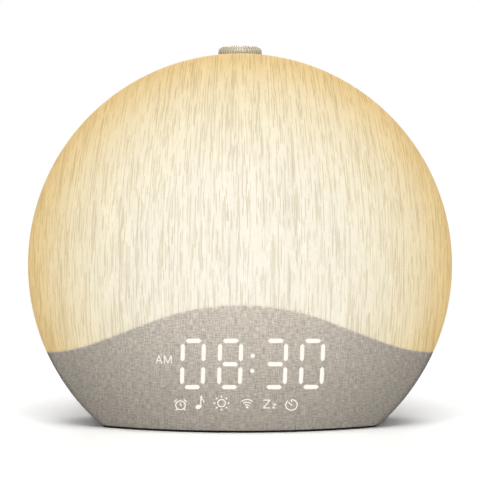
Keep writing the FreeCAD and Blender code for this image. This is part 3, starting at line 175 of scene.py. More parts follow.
class Graph:
    """A node tree and the ways to fill it."""

    def __init__(self, tree: bpy.types.NodeTree) -> None:
        """Empties the tree and keeps it."""
        self.tree = tree
        self.tree.nodes.clear()

    def end(self, kind: str, shader: Value) -> None:
        """Adds the output node and links a shader to it."""
        output = self.tree.nodes.new(kind)
        self.tree.links.new(shader.socket, output.inputs["Surface"])

    def node(self, kind: str, settings: dict[str, Any], inputs: dict[Any, Any], output: Any = 0) -> Value:
        """Adds a node, sets it up and feeds it.

        Args:
            kind: The node's type name.
            settings: Its properties, or a ramp's stops under the name stops.
            inputs: Numbers, colours or values by socket name or number.
            output: Which output to return.

        Returns:
            The chosen output as a value.
        """
        made = self.tree.nodes.new(kind)
        for name, setting in settings.items():
            if name == "stops":
                self._set_stops(made.color_ramp, setting)
            else:
                setattr(made, name, setting)
        for key, given in inputs.items():
            if isinstance(given, Value):
                self.tree.links.new(given.socket, made.inputs[key])
            else:
                made.inputs[key].default_value = given
        return Value(self, made.outputs[output])

    @staticmethod
    def _set_stops(ramp: bpy.types.ColorRamp, stops: list[tuple[float, tuple[float, float, float]]]) -> None:
        """Fills a colour ramp from (place, linear colour) pairs."""
        while len(ramp.elements) < len(stops):
            ramp.elements.new(1.0)
        for element, (place, colour) in zip(ramp.elements, stops):
            element.position = place
            element.color = (*colour, 1.0)

    def place(self) -> tuple[Value, Value, Value]:
        """The surface point's three Object coordinates in millimetres."""
        point = self.node("ShaderNodeTexCoord", {}, {}, "Object")
        parts = [self.node("ShaderNodeSeparateXYZ", {}, {0: point}, i) for i in range(3)]
        return parts[0] / MM, parts[1] / MM, parts[2] / MM

    def point(self, x: Any, y: Any, z: Any) -> Value:
        """A vector from three values."""
        return self.node("ShaderNodeCombineXYZ", {}, {0: x, 1: y, 2: z})

    def noise(self, vector: Value, detail: float = 2.0, rough: float = 0.5, seed: float = 0.0) -> Value:
        """Smooth noise about 0.5, with features about one unit of the vector across.

        Args:
            vector: Where it is read.
            detail: How many finer layers are added.
            rough: How strong the finer layers are.
            seed: Which of many alike patterns is used.

        Returns:
            The noise value.
        """
        settings = {"noise_dimensions": "4D"}
        inputs = {"Vector": vector, "W": seed, "Scale": 1.0, "Detail": detail, "Roughness": rough}
        return self.node("ShaderNodeTexNoise", settings, inputs)

    def blend(self, factor: Any, first: Any, second: Any, mode: str = "MIX") -> Value:
        """Mixes two colours.

        Args:
            factor: Share of the second colour, or strength of the mode.
            first: Colour or value.
            second: Colour or value.
            mode: The Mix node's blend type.

        Returns:
            The mixed colour.
        """
        a, b = (c if isinstance(c, Value) else (*c, 1.0) for c in (first, second))
        settings = {"data_type": "RGBA", "blend_type": mode}
        return self.node("ShaderNodeMix", settings, {0: factor, 6: a, 7: b}, 2)

    def grey(self, value: Value) -> Value:
        """A colour with the value on all three channels."""
        return self.node("ShaderNodeCombineColor", {}, {0: value, 1: value, 2: value})

    def one_of(self, share: Value, first: Value, second: Value) -> Value:
        """Mixes two shaders by the share of the second."""
        return self.node("ShaderNodeMixShader", {}, {0: share, 1: first, 2: second})

    def seen(self) -> Value:
        """1 for rays from the camera, a mirror or glass, and 0 for light that bounces on."""
        rays = [self.node("ShaderNodeLightPath", {}, {}, f"Is {kind} Ray") for kind in RAYS_SEEN]
        return rays[0].most(rays[1]).most(rays[2])


class Surface(Graph):
    """The tree of one material around a Principled shader."""

    def __init__(self, name: str) -> None:
        """Makes the material with its shader and output."""
        self.material = bpy.data.materials.new(name)
        self.material.use_nodes = True
        super().__init__(self.material.node_tree)
        self.shader = self.node("ShaderNodeBsdfPrincipled", {}, {})
        self.end("ShaderNodeOutputMaterial", self.shader)

    def bump(self, height: Value, depth_mm: float, strength: float = 1.0) -> None:
        """Feeds a height pattern to the shader's normal.

        Args:
            height: Pattern from 0 to 1.
            depth_mm: Depth of the pattern in millimetres.
            strength: Share of the full effect.
        """
        inputs = {"Strength": strength, "Distance": depth_mm * MM, "Height": height}
        self.feed("Normal", self.node("ShaderNodeBump", {}, inputs))

    def feed(self, name: str, given: Any) -> None:
        """Sets or links one socket of the shader."""
        socket = self.shader.socket.node.inputs[name]
        if isinstance(given, Value):
            self.tree.links.new(given.socket, socket)
        else:
            socket.default_value = given


@dataclass(frozen=True)
class Finish:
    """A plain surface with a fine grain, a slow change of tone and some wear in its gloss."""

    name: str
    colour: tuple[int, int, int]
    roughness: float = 0.5
    metallic: float = 0.0
    grain_mm: float = 0.25
    grain_depth_mm: float = 0.012
    tone: float = 0.05
    streak: float = 1.0
    sheen: float = 0.0
    coat: float = 0.0
    slow_mm: float = 22.0
    slow_gloss: float = 0.12
    grain_gloss: float = 0.08

    def painted_shade(self, graph: Surface, x: Value, y: Value, z: Value) -> Any:
        """Painted shade that darkens the finish's colour, from 0 to 1. A plain surface has none."""
        return 1.0

    def material(self) -> bpy.types.Material:
        """Builds the material."""
        graph = Surface(self.name)
        x, y, z = graph.place()
        fine, broad = self.grain_mm, self.slow_mm
        grain = graph.noise(graph.point(x / (fine * self.streak), y / fine, z / fine), 3.0, 0.6)
        slow = graph.noise(graph.point(x / broad, y / broad, z / broad), 2.0, 0.5, 3.0)
        shade = 1.0 + (slow - 0.5) * (2 * self.tone) + (grain - 0.5) * self.tone
        # Painted shade, where a finish has it, darkens the colour here.
        tone = graph.grey(shade * self.painted_shade(graph, x, y, z))
        graph.feed("Base Color", graph.blend(1.0, linear(*self.colour), tone, "MULTIPLY"))
        gloss = self.roughness + (slow - 0.5) * self.slow_gloss + (grain - 0.5) * self.grain_gloss
        graph.feed("Roughness", gloss)
        graph.feed("Metallic", self.metallic)
        graph.feed("Sheen Weight", self.sheen)
        graph.feed("Coat Weight", self.coat)
        graph.bump(grain, self.grain_depth_mm)
        return graph.material


@dataclass(frozen=True)
class RibbedFinish(Finish):
    """The knob's plastic, with painted shade down in the grooves between its ribs."""

    axis_y: float = 8.0
    ribs: int = 48
    side_radius: float = 6.6
    side_fade: float = 0.2
    # Strength of the painted shade down in the grooves.
    groove_painted_shade: float = 0.22
    groove_shade_from: tuple[float, float] = (0.5, 1.9)

    def painted_shade(self, graph: Surface, x: Value, y: Value, z: Value) -> Any:
        """Painted shade of the grooves, which is 1 on the ribs and on the knob's top."""
        away = y - self.axis_y
        radius = (x * x + away * away) ** 0.5
        ripple = (away.turn(x) * self.ribs).cosine()
        side = radius.between(self.side_radius - self.side_fade, self.side_radius)
        return 1.0 - (1.0 - ripple).between(*self.groove_shade_from) * side * self.groove_painted_shade


@dataclass(frozen=True)
class Lane:
    """One layer of straight threads, each of which is thick in lengths of its own."""

    pitch: float
    reach: float
    seed: float
    weight_reach: float = 34.0
    reach_step: float = 17.31
    weight_step: float = 5.73
    soft_edge: tuple[float, float] = (0.06, 0.25)
    thick_from: tuple[float, float] = (0.51, 0.60)
    kept_from: tuple[float, float] = (0.35, 0.62)

    def strength(self, graph: Surface, across: Value, along: Value) -> Value:
        """How thick the layer's threads are.

        Args:
            graph: The material's graph.
            across: Place across the threads.
            along: Place along the threads.

        Returns:
            Strength from 0 to 1, strongest at the middle of a thick thread.
        """
        count = across / self.pitch
        number = count.floor()
        off = count - number - 0.5
        middle = 1.0 - (off * off).between(*self.soft_edge)
        place = graph.point(number * self.reach_step, along / self.reach, 0.0)
        run = graph.noise(place, 1.0, 0.4, self.seed)
        place = graph.point(number * self.weight_step, along / self.weight_reach, 0.0)
        weight = graph.noise(place, 0.0, 0.5, self.seed + 3.3)
        return run.between(*self.thick_from) * middle * weight.between(*self.kept_from)


@dataclass(frozen=True)
class Linen:
    """Woven cloth of the whole front: upright slub threads that close up where the dome turns away."""

    name: str
    centre_z: float
    body_radius: float
    front_y: float = -48.0
    wrap_mm: float = 165.0
    slope: float = 0.35
    thread_mm: float = 0.38
    thread_reach: float = 2.8
    thin: Lane = Lane(0.42, 10.0, 1.37)
    thick: Lane = Lane(0.56, 16.0, 7.37)
    thick_share: float = 0.85
    weave_from: tuple[float, float] = (0.30, 0.70)

    def threads(self, graph: Surface) -> tuple[Value, Value, Value]:
        """Coordinates across and along the threads.

        Args:
            graph: The material's graph.

        Returns:
            Place across the threads and along them in millimetres, and the Z height.
        """
        x, y, z = graph.place()
        across = x * (1.0 + (y - self.front_y) / self.wrap_mm)
        return across, z + y * self.slope, z

    def slubs(self, graph: Surface, across: Value, along: Value) -> tuple[Value, Value]:
        """Thin upright streaks, and the soft bands of tone behind them.

        Args:
            graph: The material's graph.
            across: Place across the threads.
            along: Place along the threads.

        Returns:
            The streaks' strength from 0 to 1, and the bands' tone about 0.5.
        """
        thin = self.thin.strength(graph, across, along)
        thick = self.thick.strength(graph, across, along)
        bands = graph.noise(graph.point(across / 6.0, along / 55.0, 0.0), 1.0, 0.5, 9.0)
        return thin.most(thick * self.thick_share), bands

    def weave(self, graph: Surface, across: Value, along: Value) -> Value:
        """The fine crossing of warp and weft, about 0.5."""
        fine, reach = self.thread_mm, self.thread_reach
        warp = graph.noise(graph.point(across / fine, along / reach, 0.0), 0.0, 0.5, 12.0)
        weft = graph.noise(graph.point(across / reach, along / fine, 0.0), 0.0, 0.5, 15.0)
        return warp.between(*self.weave_from) * 0.5 + weft.between(*self.weave_from) * 0.5

    @staticmethod
    def wave_depth(graph: Surface) -> Value:
        """Height over the wave line in millimetres, from the mesh's own attribute."""
        return graph.node("ShaderNodeAttribute", {"attribute_name": WAVE_DEPTH}, {}, "Fac")


@dataclass(frozen=True)
class LitLinen(Linen):
    """The linen where the sunrise light shines through it."""

    glow: float = 0.77
    albedo: float = 0.25
    thread_tint: tuple[float, float, float] = (0.75, 0.70, 0.61)
    pale: Lane = Lane(0.52, 7.0, 21.4)
    edge_mm: float = 1.2
    edge_shade: float = 0.08
    low_from: tuple[float, float] = (-55.0, -15.0)
    rim_from: tuple[float, float] = (0.85, 1.0)
    low_shade: float = 0.10
    band_tone: float = 0.16
    weave_tone: float = 0.07
    pale_tone: float = 0.05

    def material(self) -> bpy.types.Material:
        """Builds the material."""
        graph = Surface(self.name)
        across, along, z = self.threads(graph)
        x, _, _ = graph.place()
        rise = z - self.centre_z
        spread = (x * x + rise * rise) ** 0.5 / self.body_radius
        stops = [
            (0.0, linear(246, 241, 227)),
            (0.50, linear(246, 239, 219)),
            (0.68, linear(245, 235, 207)),
            (0.84, linear(242, 225, 186)),
            (0.94, linear(238, 212, 158)),
            (1.0, linear(232, 201, 142)),
        ]
        light = graph.node("ShaderNodeValToRGB", {"stops": stops}, {0: spread})
        slub, bands = self.slubs(graph, across, along)
        weave = self.weave(graph, across, along)
        pale = self.pale.strength(graph, across, along)
        edge = 1.0 - self.edge_shade + self.wave_depth(graph).between(0.0, self.edge_mm) * self.edge_shade
        low = (1.0 - rise.between(*self.low_from)) * spread.between(*self.rim_from)
        tone = 1.0 + (bands - 0.5) * self.band_tone + (weave - 0.5) * self.weave_tone + pale * self.pale_tone
        tone = tone * edge * (1.0 - low * self.low_shade)
        tint = graph.blend(slub, (1.0, 1.0, 1.0), self.thread_tint)
        colour = graph.blend(1.0, graph.blend(1.0, light, tint, "MULTIPLY"), graph.grey(tone), "MULTIPLY")
        graph.feed("Base Color", graph.blend(1.0, colour, (self.albedo,) * 3, "MULTIPLY"))
        graph.feed("Emission Color", colour)
        graph.feed("Emission Strength", self.glow)
        graph.feed("Roughness", 0.8)
        graph.feed("Specular IOR Level", 0.2)
        graph.bump(weave * 0.6 + slub * 0.4, 0.05, 0.6)
        return graph.material


@dataclass(frozen=True)
class BaseLinen(Linen):
    """The unlit linen of the base, with a painted glow of spilt light along the wave."""

    colour: tuple[int, int, int] = (206, 197, 184)
    # Colour of the painted glow along the wave.
    spill_colour: tuple[int, int, int] = (248, 236, 208)
    edge_mm: float = 0.9
    # Strength of the painted glow along the wave.
    painted_spill: float = 0.08
    weave_tone: float = 0.54
    band_tone: float = 0.10
    slub_tone: float = 0.08

    def material(self) -> bpy.types.Material:
        """Builds the material."""
        graph = Surface(self.name)
        across, along, _ = self.threads(graph)
        weave = self.weave(graph, across, along)
        slub, bands = self.slubs(graph, across, along)
        tone = 1.0 + (weave - 0.5) * self.weave_tone + (bands - 0.5) * self.band_tone - slub * self.slub_tone
        graph.feed("Base Color", graph.blend(1.0, linear(*self.colour), graph.grey(tone), "MULTIPLY"))
        # Painted glow of light spilt from the lit dome, which fades out within edge_mm below the wave.
        below = 0.0 - self.wave_depth(graph)
        light = (1.0 - below.between(0.0, self.edge_mm)) * self.painted_spill
        graph.feed("Emission Color", graph.blend(light, (0.0, 0.0, 0.0), linear(*self.spill_colour)))
        graph.feed("Emission Strength", 1.0)
        graph.feed("Roughness", 0.92)
        graph.feed("Specular IOR Level", 0.15)
        graph.feed("Sheen Weight", 0.15)
        graph.bump(weave, 0.12, 0.7)
        return graph.material


@dataclass(frozen=True)
class Glow:
    """Light that comes through the cloth in the shape of a figure."""

    name: str
    colour: tuple[int, int, int] = (252, 248, 238)
    strength: float = 0.98
    thread_mm: float = 0.45
    weave_tone: float = 0.14

    def material(self) -> bpy.types.Material:
        """Builds the material."""
        graph = Surface(self.name)
        x, _, z = graph.place()
        weave = graph.noise(graph.point(x / self.thread_mm, z / self.thread_mm, 0.0), 1.0, 0.5, 2.0)
        tone = graph.grey(1.0 + (weave - 0.5) * self.weave_tone)
        graph.feed("Base Color", (0.05, 0.05, 0.05, 1.0))
        graph.feed("Emission Color", graph.blend(1.0, linear(*self.colour), tone, "MULTIPLY"))
        graph.feed("Emission Strength", self.strength)
        graph.feed("Roughness", 0.8)
        return graph.material


def new_object(name: str, mesh: bpy.types.Mesh) -> bpy.types.Object:
    """Puts a mesh in the scene as an object at the origin."""
    made = bpy.data.objects.new(name, mesh)
    bpy.context.scene.collection.objects.link(made)
    return made


def to_object(bm: bmesh.types.BMesh, name: str, smooth_deg: float = 40.0) -> bpy.types.Object:
    """Ends a mesh that was built in millimetres.

    Args:
        bm: The mesh, which is freed.
        name: Name of the new piece.
        smooth_deg: Edges sharper than this stay sharp.

    Returns:
        The new object in metres.
    """
    bmesh.ops.scale(bm, vec=(MM, MM, MM), verts=bm.verts)
    mesh = bpy.data.meshes.new(name)
    bm.to_mesh(mesh)
    bm.free()
    mesh.shade_smooth()
    mesh.set_sharp_from_angle(angle=math.radians(smooth_deg))
    return new_object(name, mesh)


def applied(piece: bpy.types.Object) -> bpy.types.Object:
    """Turns a piece's modifiers into mesh."""
    bpy.context.view_layer.update()
    graph = bpy.context.evaluated_depsgraph_get()
    mesh = bpy.data.meshes.new_from_object(piece.evaluated_get(graph), depsgraph=graph)
    piece.modifiers.clear()
    piece.data = mesh
    return piece


def dress(piece: bpy.types.Object, material: bpy.types.Material, body: str, slot: str, *nodes: str) -> None:
    """Gives a piece its material and body, and hides the CAD nodes it stands for.

    Args:
        piece: The finished piece.
        material: Its material.
        body: The CAD body it rides on.
        slot: The record's material slot; not used.
        nodes: CAD nodes it replaces.
    """
    piece.data.materials.clear()
    piece.data.materials.append(material)
    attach(piece, body)
    if nodes:
        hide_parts(*nodes)
    log.info("piece %s rides on %s with %d faces", piece.name, body, len(piece.data.polygons))


@dataclass(frozen=True)
class WaveEdge:
    """The line between the lit linen and the base: a hill, straight flanks and level valleys."""

    hill_top: float = 55.2
    hill_radius: float = 95.0
    flank_angle: float = math.radians(22.8)
    flank_end: float = 62.0
    valley_radius: float = 70.0

    def height(self, x: float) -> float:
        """Height of the line over the table at a place across the front."""
        sine = math.sin(self.flank_angle)
        hill_x = self.hill_radius * sine
        valley_x = self.flank_end + self.valley_radius * sine
        hill_z = self.hill_top - self.hill_radius * (1 - math.cos(self.flank_angle))
        flank_z = hill_z - (self.flank_end - hill_x) * math.tan(self.flank_angle)
        valley_z = flank_z - self.valley_radius * (1 - math.cos(self.flank_angle))
        x = abs(x)
        if x <= hill_x:
            return self.hill_top - self.hill_radius + math.sqrt(self.hill_radius**2 - x * x)
        if x <= self.flank_end:
            return hill_z - (x - hill_x) * math.tan(self.flank_angle)
        if x <= valley_x:
            return valley_z + self.valley_radius - math.sqrt(self.valley_radius**2 - (valley_x - x) ** 2)
        return valley_z


@dataclass
class FrontSkin:
    """The domed front: one turned surface, parted along the wave into lit linen and base linen."""

    radius: float
    foot: float
    front_y: float
    seam_y: float
    centre_z: float
    ridge_y: float = -6.0
    rim_fillet: float = 8.0
    side_draft: float = math.radians(8)
    lit_wall: float = 2.2
    cloth: float = 0.85
    cloth_cut: tuple[float, float] = (0.186, 0.062)
    cloth_area: float = 0.0085
    turns: int = 288
    cap_steps: int = 56
    fillet_steps: int = 14
    edge_bevel: float = 0.2
    wave: WaveEdge = WaveEdge()

    LOOPS = (-3.0, -1.4, -0.6, 0.6, 1.4, 3.0)

    @property
    def rim_r(self) -> float:
        """Distance of the rim fillet's centre from the axis."""
        return self.radius - self.rim_fillet

    @property
    def cap_radius(self) -> float:
        """Radius of the ball that the front is part of."""
        reach = self.ridge_y - self.front_y
        fillet = self.rim_fillet
        return (self.rim_r**2 + reach**2 - fillet**2) / (2 * (reach - fillet))

    @property
    def cap_y(self) -> float:
        """Centre of that ball, behind the front."""
        return self.front_y + self.cap_radius

    def front_at(self, x: float, z: float) -> float:
        """Y of the domed front at a place on it."""
        away = x * x + (z - self.centre_z) ** 2
        return self.cap_y - math.sqrt(self.cap_radius**2 - away)

    def surface(self) -> bmesh.types.BMesh:
        """Turns the outer surface from the front's middle to the seam."""
        bm = bmesh.new()
        first = bmesh.ops.create_vert(bm, co=(0, self.front_y, self.centre_z))["vert"]
        cap_angle = math.atan2(self.rim_r, self.cap_y - self.ridge_y)
        side_angle = math.pi / 2 + self.side_draft
        centre = (0, self.cap_y, self.centre_z)
        arc = bmesh.ops.spin(bm, geom=first, cent=centre, axis=(0, 0, 1), angle=cap_angle,
                             steps=self.cap_steps)
        last = [e for e in arc["geom_last"] if isinstance(e, bmesh.types.BMVert)]
        centre = (self.rim_r, self.ridge_y, self.centre_z)
        sweep = side_angle - cap_angle
        arc = bmesh.ops.spin(bm, geom=last, cent=centre, axis=(0, 0, 1), angle=sweep,
                             steps=self.fillet_steps)
        last = [e for e in arc["geom_last"] if isinstance(e, bmesh.types.BMVert)]
        end = bmesh.ops.extrude_vert_indiv(bm, verts=last)["verts"][0]
        run = self.seam_y - end.co.y
        end.co += Vector((-run * math.tan(self.side_draft), run, 0))
        bmesh.ops.spin(
            bm,
            geom=bm.verts[:] + bm.edges[:],
            cent=(0, 0, self.centre_z),
            axis=(0, 1, 0),
            angle=2 * math.pi,
            steps=self.turns,
            use_merge=True,
        )
        bmesh.ops.remove_doubles(bm, verts=bm.verts, dist=0.001)
        bmesh.ops.recalc_face_normals(bm, faces=bm.faces)
        apex = min(bm.verts, key=lambda v: v.co.y)
        if apex.link_faces[0].normal.y > 0:
            bmesh.ops.reverse_faces(bm, faces=bm.faces)
        return bm

    def cut(self, bm: bmesh.types.BMesh, height: float, part: int, along_wave: bool) -> None:
        """Cuts the surface at a height, level or along the wave.

        Args:
            bm: The surface.
            height: Height of the cut over the table, or over the wave.
            part: 1 keeps what is above, -1 what is below, and 0 only adds an edge loop.
            along_wave: Whether the cut follows the wave.
        """
        if along_wave:
            for v in bm.verts:
                v.co.z -= self.wave.height(v.co.x)
        bmesh.ops.bisect_plane(
            bm,
            geom=bm.verts[:] + bm.edges[:] + bm.faces[:],
            dist=1e-5,
            plane_co=(0, 0, height),
            plane_no=(0, 0, 1),
            clear_outer=part < 0,
            clear_inner=part > 0,
        )
        if along_wave:
            for v in bm.verts:
                v.co.z += self.wave.height(v.co.x)

    def panel(self, name: str, above: bool, wall: float) -> bpy.types.Object:
        """Makes one of the two panels as a closed shell with softened edges.

        Args:
            name: Name of the piece.
            above: Whether it is the panel above the wave.
            wall: Its thickness.

        Returns:
            The panel's object.
        """
        bm = self.surface()
        for loop in self.LOOPS:
            self.cut(bm, loop, 0, True)
        self.cut(bm, 0.0, 1 if above else -1, True)
        self.cut(bm, self.foot, 1, False)
        piece = to_object(bm, name)
        shell = piece.modifiers.new("wall", "SOLIDIFY")
        shell.thickness = wall * MM
        shell.offset = -1
        shell.use_even_offset = True
        soften = piece.modifiers.new("edge", "BEVEL")
        soften.width = self.edge_bevel * MM
        soften.segments = 2
        soften.limit_method = "ANGLE"
        soften.angle_limit = math.radians(60)
        applied(piece)
        depth = piece.data.attributes.new(WAVE_DEPTH, "FLOAT", "POINT")
        for i, v in enumerate(piece.data.vertices):
            depth.data[i].value = v.co.z / MM - self.wave.height(v.co.x / MM)
        piece.data.shade_smooth()
        piece.data.set_sharp_from_angle(angle=math.radians(50))
        return piece

    def build(self) -> None:
        """Makes and dresses both panels."""
        lit = self.panel("lit_linen_dome", True, self.lit_wall)
        dress(lit, LitLinen("lit_linen", self.centre_z, self.radius).material(), HOUSING, "dome_plastic",
              "diffuser_dome")
        base = self.panel("base_linen_wrap", False, self.cloth)
        dress(base, BaseLinen("base_linen", self.centre_z, self.radius).material(), HOUSING, "cloth",
              "fabric_wrap")


class Segment(Enum):
    """The bars of a figure, as (across, up) ends in half widths and half heights."""

    TOP = ((-1, 1), (1, 1))
    MIDDLE = ((-1, 0), (1, 0))
    BOTTOM = ((-1, -1), (1, -1))
    UPPER_LEFT = ((-1, 0), (-1, 1))
    UPPER_RIGHT = ((1, 0), (1, 1))
    LOWER_LEFT = ((-1, -1), (-1, 0))
    LOWER_RIGHT = ((1, -1), (1, 0))


UNLIT = {
    "0": (Segment.MIDDLE,),
    "3": (Segment.UPPER_LEFT, Segment.LOWER_LEFT),
    "8": (),
}


class Sign:
    """Flat strokes drawn on the front, which end as thin closed plates that follow the dome.

    A row is set lower as the front curves away, so that it looks level from before the clock.
    """

    SIGHT_SLOPE = 0.104
    ARC_STEP_DEG = 12
    DOT_SIDES = 20

    def __init__(self, name: str, skin: FrontSkin) -> None:
        """Starts an empty sign."""
        self.name = name
        self.skin = skin
        self.bm = bmesh.new()

    def _place(self, verts: list[bmesh.types.BMVert], matrix: Matrix) -> None:
        """Moves new vertices into their place on the front."""
        bmesh.ops.transform(self.bm, matrix=matrix, verts=verts)

    def bar(self, start: Place, end: Place, width: float, point: float = 0.0) -> None:
        """Draws a straight stroke.

        Args:
            start: Its first end as (x, z).
            end: Its other end.
            width: Its width.
            point: How far its ends come to a point.
        """
        run = Vector((end[0] - start[0], 0, end[1] - start[1]))
        half = run.length / 2 - point
        grid = bmesh.ops.create_grid(self.bm, x_segments=4, y_segments=2, size=1.0)["verts"]
        bmesh.ops.scale(self.bm, vec=(half, width / 2, 1), verts=grid)
        for v in grid:
            if abs(v.co.y) < 1e-6 and abs(abs(v.co.x) - half) < 1e-6:
                v.co.x += math.copysign(point, v.co.x)
        angle = math.atan2(run.z, run.x)
        middle = Vector(((start[0] + end[0]) / 2, 0, (start[1] + end[1]) / 2))
        upright = Matrix.Rotation(math.pi / 2, 4, "X")
        turn = Matrix.Rotation(-angle, 4, "Y")
        self._place(grid, Matrix.Translation(middle) @ turn @ upright)

    def arc(self, centre: Place, radius: float, start_deg: float, sweep_deg: float, width: float) -> None:
        """Draws a stroke along part of a circle.

        Args:
            centre: The circle's centre as (x, z).
            radius: Radius of the stroke's middle line.
            start_deg: Where it starts, from the right and counted upwards.
            sweep_deg: How far it goes.
            width: Its width.
        """
        a = math.radians(start_deg)
        ends = []
        for r in (radius - width / 2, radius + width / 2):
            co = (centre[0] + r * math.cos(a), 0, centre[1] + r * math.sin(a))
            ends += bmesh.ops.create_vert(self.bm, co=co)["vert"]
        edge = self.bm.edges.new(ends)
        full = abs(sweep_deg) >= 360
        bmesh.ops.spin(
            self.bm,
            geom=ends + [edge],
            cent=(centre[0], 0, centre[1]),
            axis=(0, -1, 0),
            angle=math.radians(sweep_deg),
            steps=max(6, int(abs(sweep_deg) / self.ARC_STEP_DEG)),
            use_merge=full,
        )

    def dot(self, centre: Place, radius: float, stretch: float = 1.0, lean_deg: float = 0.0) -> None:
        """Draws a filled disc or ellipse.

        Args:
            centre: Its centre as (x, z).
            radius: Its radius upwards.
            stretch: Its width over its height.
            lean_deg: How far it is turned.
        """
        disc = bmesh.ops.create_circle(self.bm, cap_ends=True, segments=self.DOT_SIDES, radius=radius)
        made = disc["verts"]
        bmesh.ops.scale(self.bm, vec=(stretch, 1, 1), verts=made)
        upright = Matrix.Rotation(math.pi / 2, 4, "X")
        turn = Matrix.Rotation(-math.radians(lean_deg), 4, "Y")
        self._place(made, Matrix.Translation((centre[0], 0, centre[1])) @ turn @ upright)

    def finish(self, proud: float = 0.05, sunk: float = 0.35) -> bpy.types.Object:
        """Lays the strokes on the dome and gives them thickness.

        Args:
            proud: How far they stand out of the cloth.
            sunk: How far they reach into it.

        Returns:
            The sign's object.
        """
        bm = self.bm
        for v in bm.verts:
            back = self.skin.front_at(v.co.x, v.co.z) - self.skin.front_at(0.0, v.co.z)
            v.co.z -= self.SIGHT_SLOPE * back
            v.co.y = self.skin.front_at(v.co.x, v.co.z) - proud
        back = bmesh.ops.extrude_face_region(bm, geom=bm.faces[:])["geom"]
        moved = [g for g in back if isinstance(g, bmesh.types.BMVert)]
        bmesh.ops.translate(bm, vec=(0, proud + sunk, 0), verts=moved)
        bmesh.ops.recalc_face_normals(bm, faces=bm.faces)
        return to_object(bm, self.name, 30.0)


@dataclass
class Display:
    """The time, the morning mark and the row of signs that glow through the base linen."""

    skin: FrontSkin
    centre_z: float = 30.45
    half_width: float = 4.33
    half_height: float = 9.94
    level_width: float = 1.85
    upright_width: float = 1.68
    level_half: float = 3.28
    upright_half: float = 3.8
    bar_point: float = 0.85
    slant: float = 0.033
    columns: tuple[float, ...] = (-19.45, -4.1, 14.45, 29.8)
    colon_x: float = 5.15
    colon_rise: float = 0.36
    colon_step: float = 3.25
    colon_dot: float = 0.89
    sign_z: float = 13.0
    line: float = 0.42
    thin_line: float = 0.40
    letter_a_x: float = -33.5
    letter_m_x: float = -29.85
    letter_z: float = 32.4
    letter_half: float = 1.7
    alarm_x: float = -24.8
    note_x: float = -16.6
    sun_x: float = -7.65
    sun_rays: int = 8
    signal_x: float = 2.9
    signal_arcs: int = 3
    timer_x: float = 21.4

    def build(self) -> None:
        """Makes and dresses every figure and sign."""
        glow = Glow("figure_glow").material()
        for i, (figure, x) in enumerate(zip("0830", self.columns)):
            self._dress(self._figure(f"figure_{i + 1}", figure, x), glow)
        self._dress(self._colon(), glow)
        self._dress(self._morning(), glow)
        for sign in (self._alarm(), self._note(), self._sun(), self._waves(), self._sleep(), self._timer()):
            self._dress(sign, glow)

    @staticmethod
    def _dress(sign: Sign, glow: bpy.types.Material) -> None:
        """Ends one sign and gives it the glow."""
        dress(sign.finish(), glow, HOUSING, "clear_guide")

    def _figure(self, name: str, figure: str, x: float) -> Sign:
        """Draws one figure of the time."""
        sign = Sign(name, self.skin)
        for bar in Segment:
            if bar in UNLIT[figure]:
                continue
            (a0, u0), (a1, u1) = bar.value
            level = u0 == u1
            middle_x = self.half_width * (a0 + a1) / 2
            middle_z = self.half_height * (u0 + u1) / 2
            half = self.level_half if level else self.upright_half
            along = (half, 0.0) if level else (half * self.slant, half)
            cx = x + middle_x + middle_z * self.slant
            cz = self.centre_z + middle_z
            start = (cx - along[0], cz - along[1])
            end = (cx + along[0], cz + along[1])
            sign.bar(start, end, self.level_width if level else self.upright_width, self.bar_point)
        return sign

    def _colon(self) -> Sign:
        """Draws the two dots of the colon."""
        sign = Sign("colon", self.skin)
        for side in (-1, 1):
            height = side * self.colon_step
            middle = self.centre_z + self.colon_rise
            sign.dot((self.colon_x + height * self.slant, middle + height), self.colon_dot)
        return sign

    def _morning(self) -> Sign:
        """Draws the letters for the morning hours."""
        sign = Sign("morning_mark", self.skin)
        z, half, width = self.letter_z, self.letter_half, self.thin_line
        a, m = self.letter_a_x, self.letter_m_x
        for side in (-1, 1):
            sign.bar((a + side * 1.25, z - half), (a, z + half), width)
        sign.bar((a - 0.85, z - 0.55), (a + 0.85, z - 0.55), width)
        for side in (-1, 1):
            sign.bar((m + side * 1.45, z - half), (m + side * 1.45, z + half), width)
            sign.bar((m + side * 1.45, z + half), (m, z - half + 0.2), width)
        return sign

    def _alarm(self) -> Sign:
        """Draws a small bell clock."""
        sign = Sign("sign_alarm", self.skin)
        x, z = self.alarm_x, self.sign_z - 0.55
        sign.arc((x, z), 2.0, 0, 360, self.line)
        for side in (-1, 1):
            sign.arc((x + side * 0.15, z + 0.1), 2.72, 90 - side * 62, side * 34, self.line)
            sign.bar((x + side * 1.35, z - 1.45), (x + side * 2.0, z - 2.3), self.line)
        sign.bar((x, z), (x, z + 1.1), self.line * 0.8)
        sign.bar((x, z), (x + 0.75, z - 0.35), self.line * 0.8)
        return sign

    def _note(self) -> Sign:
        """Draws a music note."""
        sign = Sign("sign_note", self.skin)
        x, z = self.note_x, self.sign_z
        sign.dot((x - 0.75, z - 1.3), 0.92, 1.28, 18)
        sign.bar((x + 0.35, z - 1.2), (x + 0.35, z + 3.73), self.line)
        sign.arc((x + 0.15, z + 0.9), 1.45, 82, -92, self.line)
        sign.bar((x + 0.35, z + 3.73), (x + 0.9, z + 2.6), self.line)
        return sign

    def _sun(self) -> Sign:
        """Draws a sun with eight dots."""
        sign = Sign("sign_sun", self.skin)
        x, z = self.sun_x, self.sign_z + 0.45
        sign.arc((x, z), 1.6, 0, 360, self.line)
        for i in range(self.sun_rays):
            a = 2 * math.pi * i / self.sun_rays
            sign.dot((x + 2.9 * math.cos(a), z + 2.9 * math.sin(a)), 0.39)
        return sign

    def _waves(self) -> Sign:
        """Draws arcs of a radio signal over a dot."""
        sign = Sign("sign_signal", self.skin)
        x, z = self.signal_x, self.sign_z - 1.4
        sign.dot((x, z), 0.5)
        for step in range(1, self.signal_arcs + 1):
            sign.arc((x, z), 1.15 * step, 48, 84, self.line)
        return sign

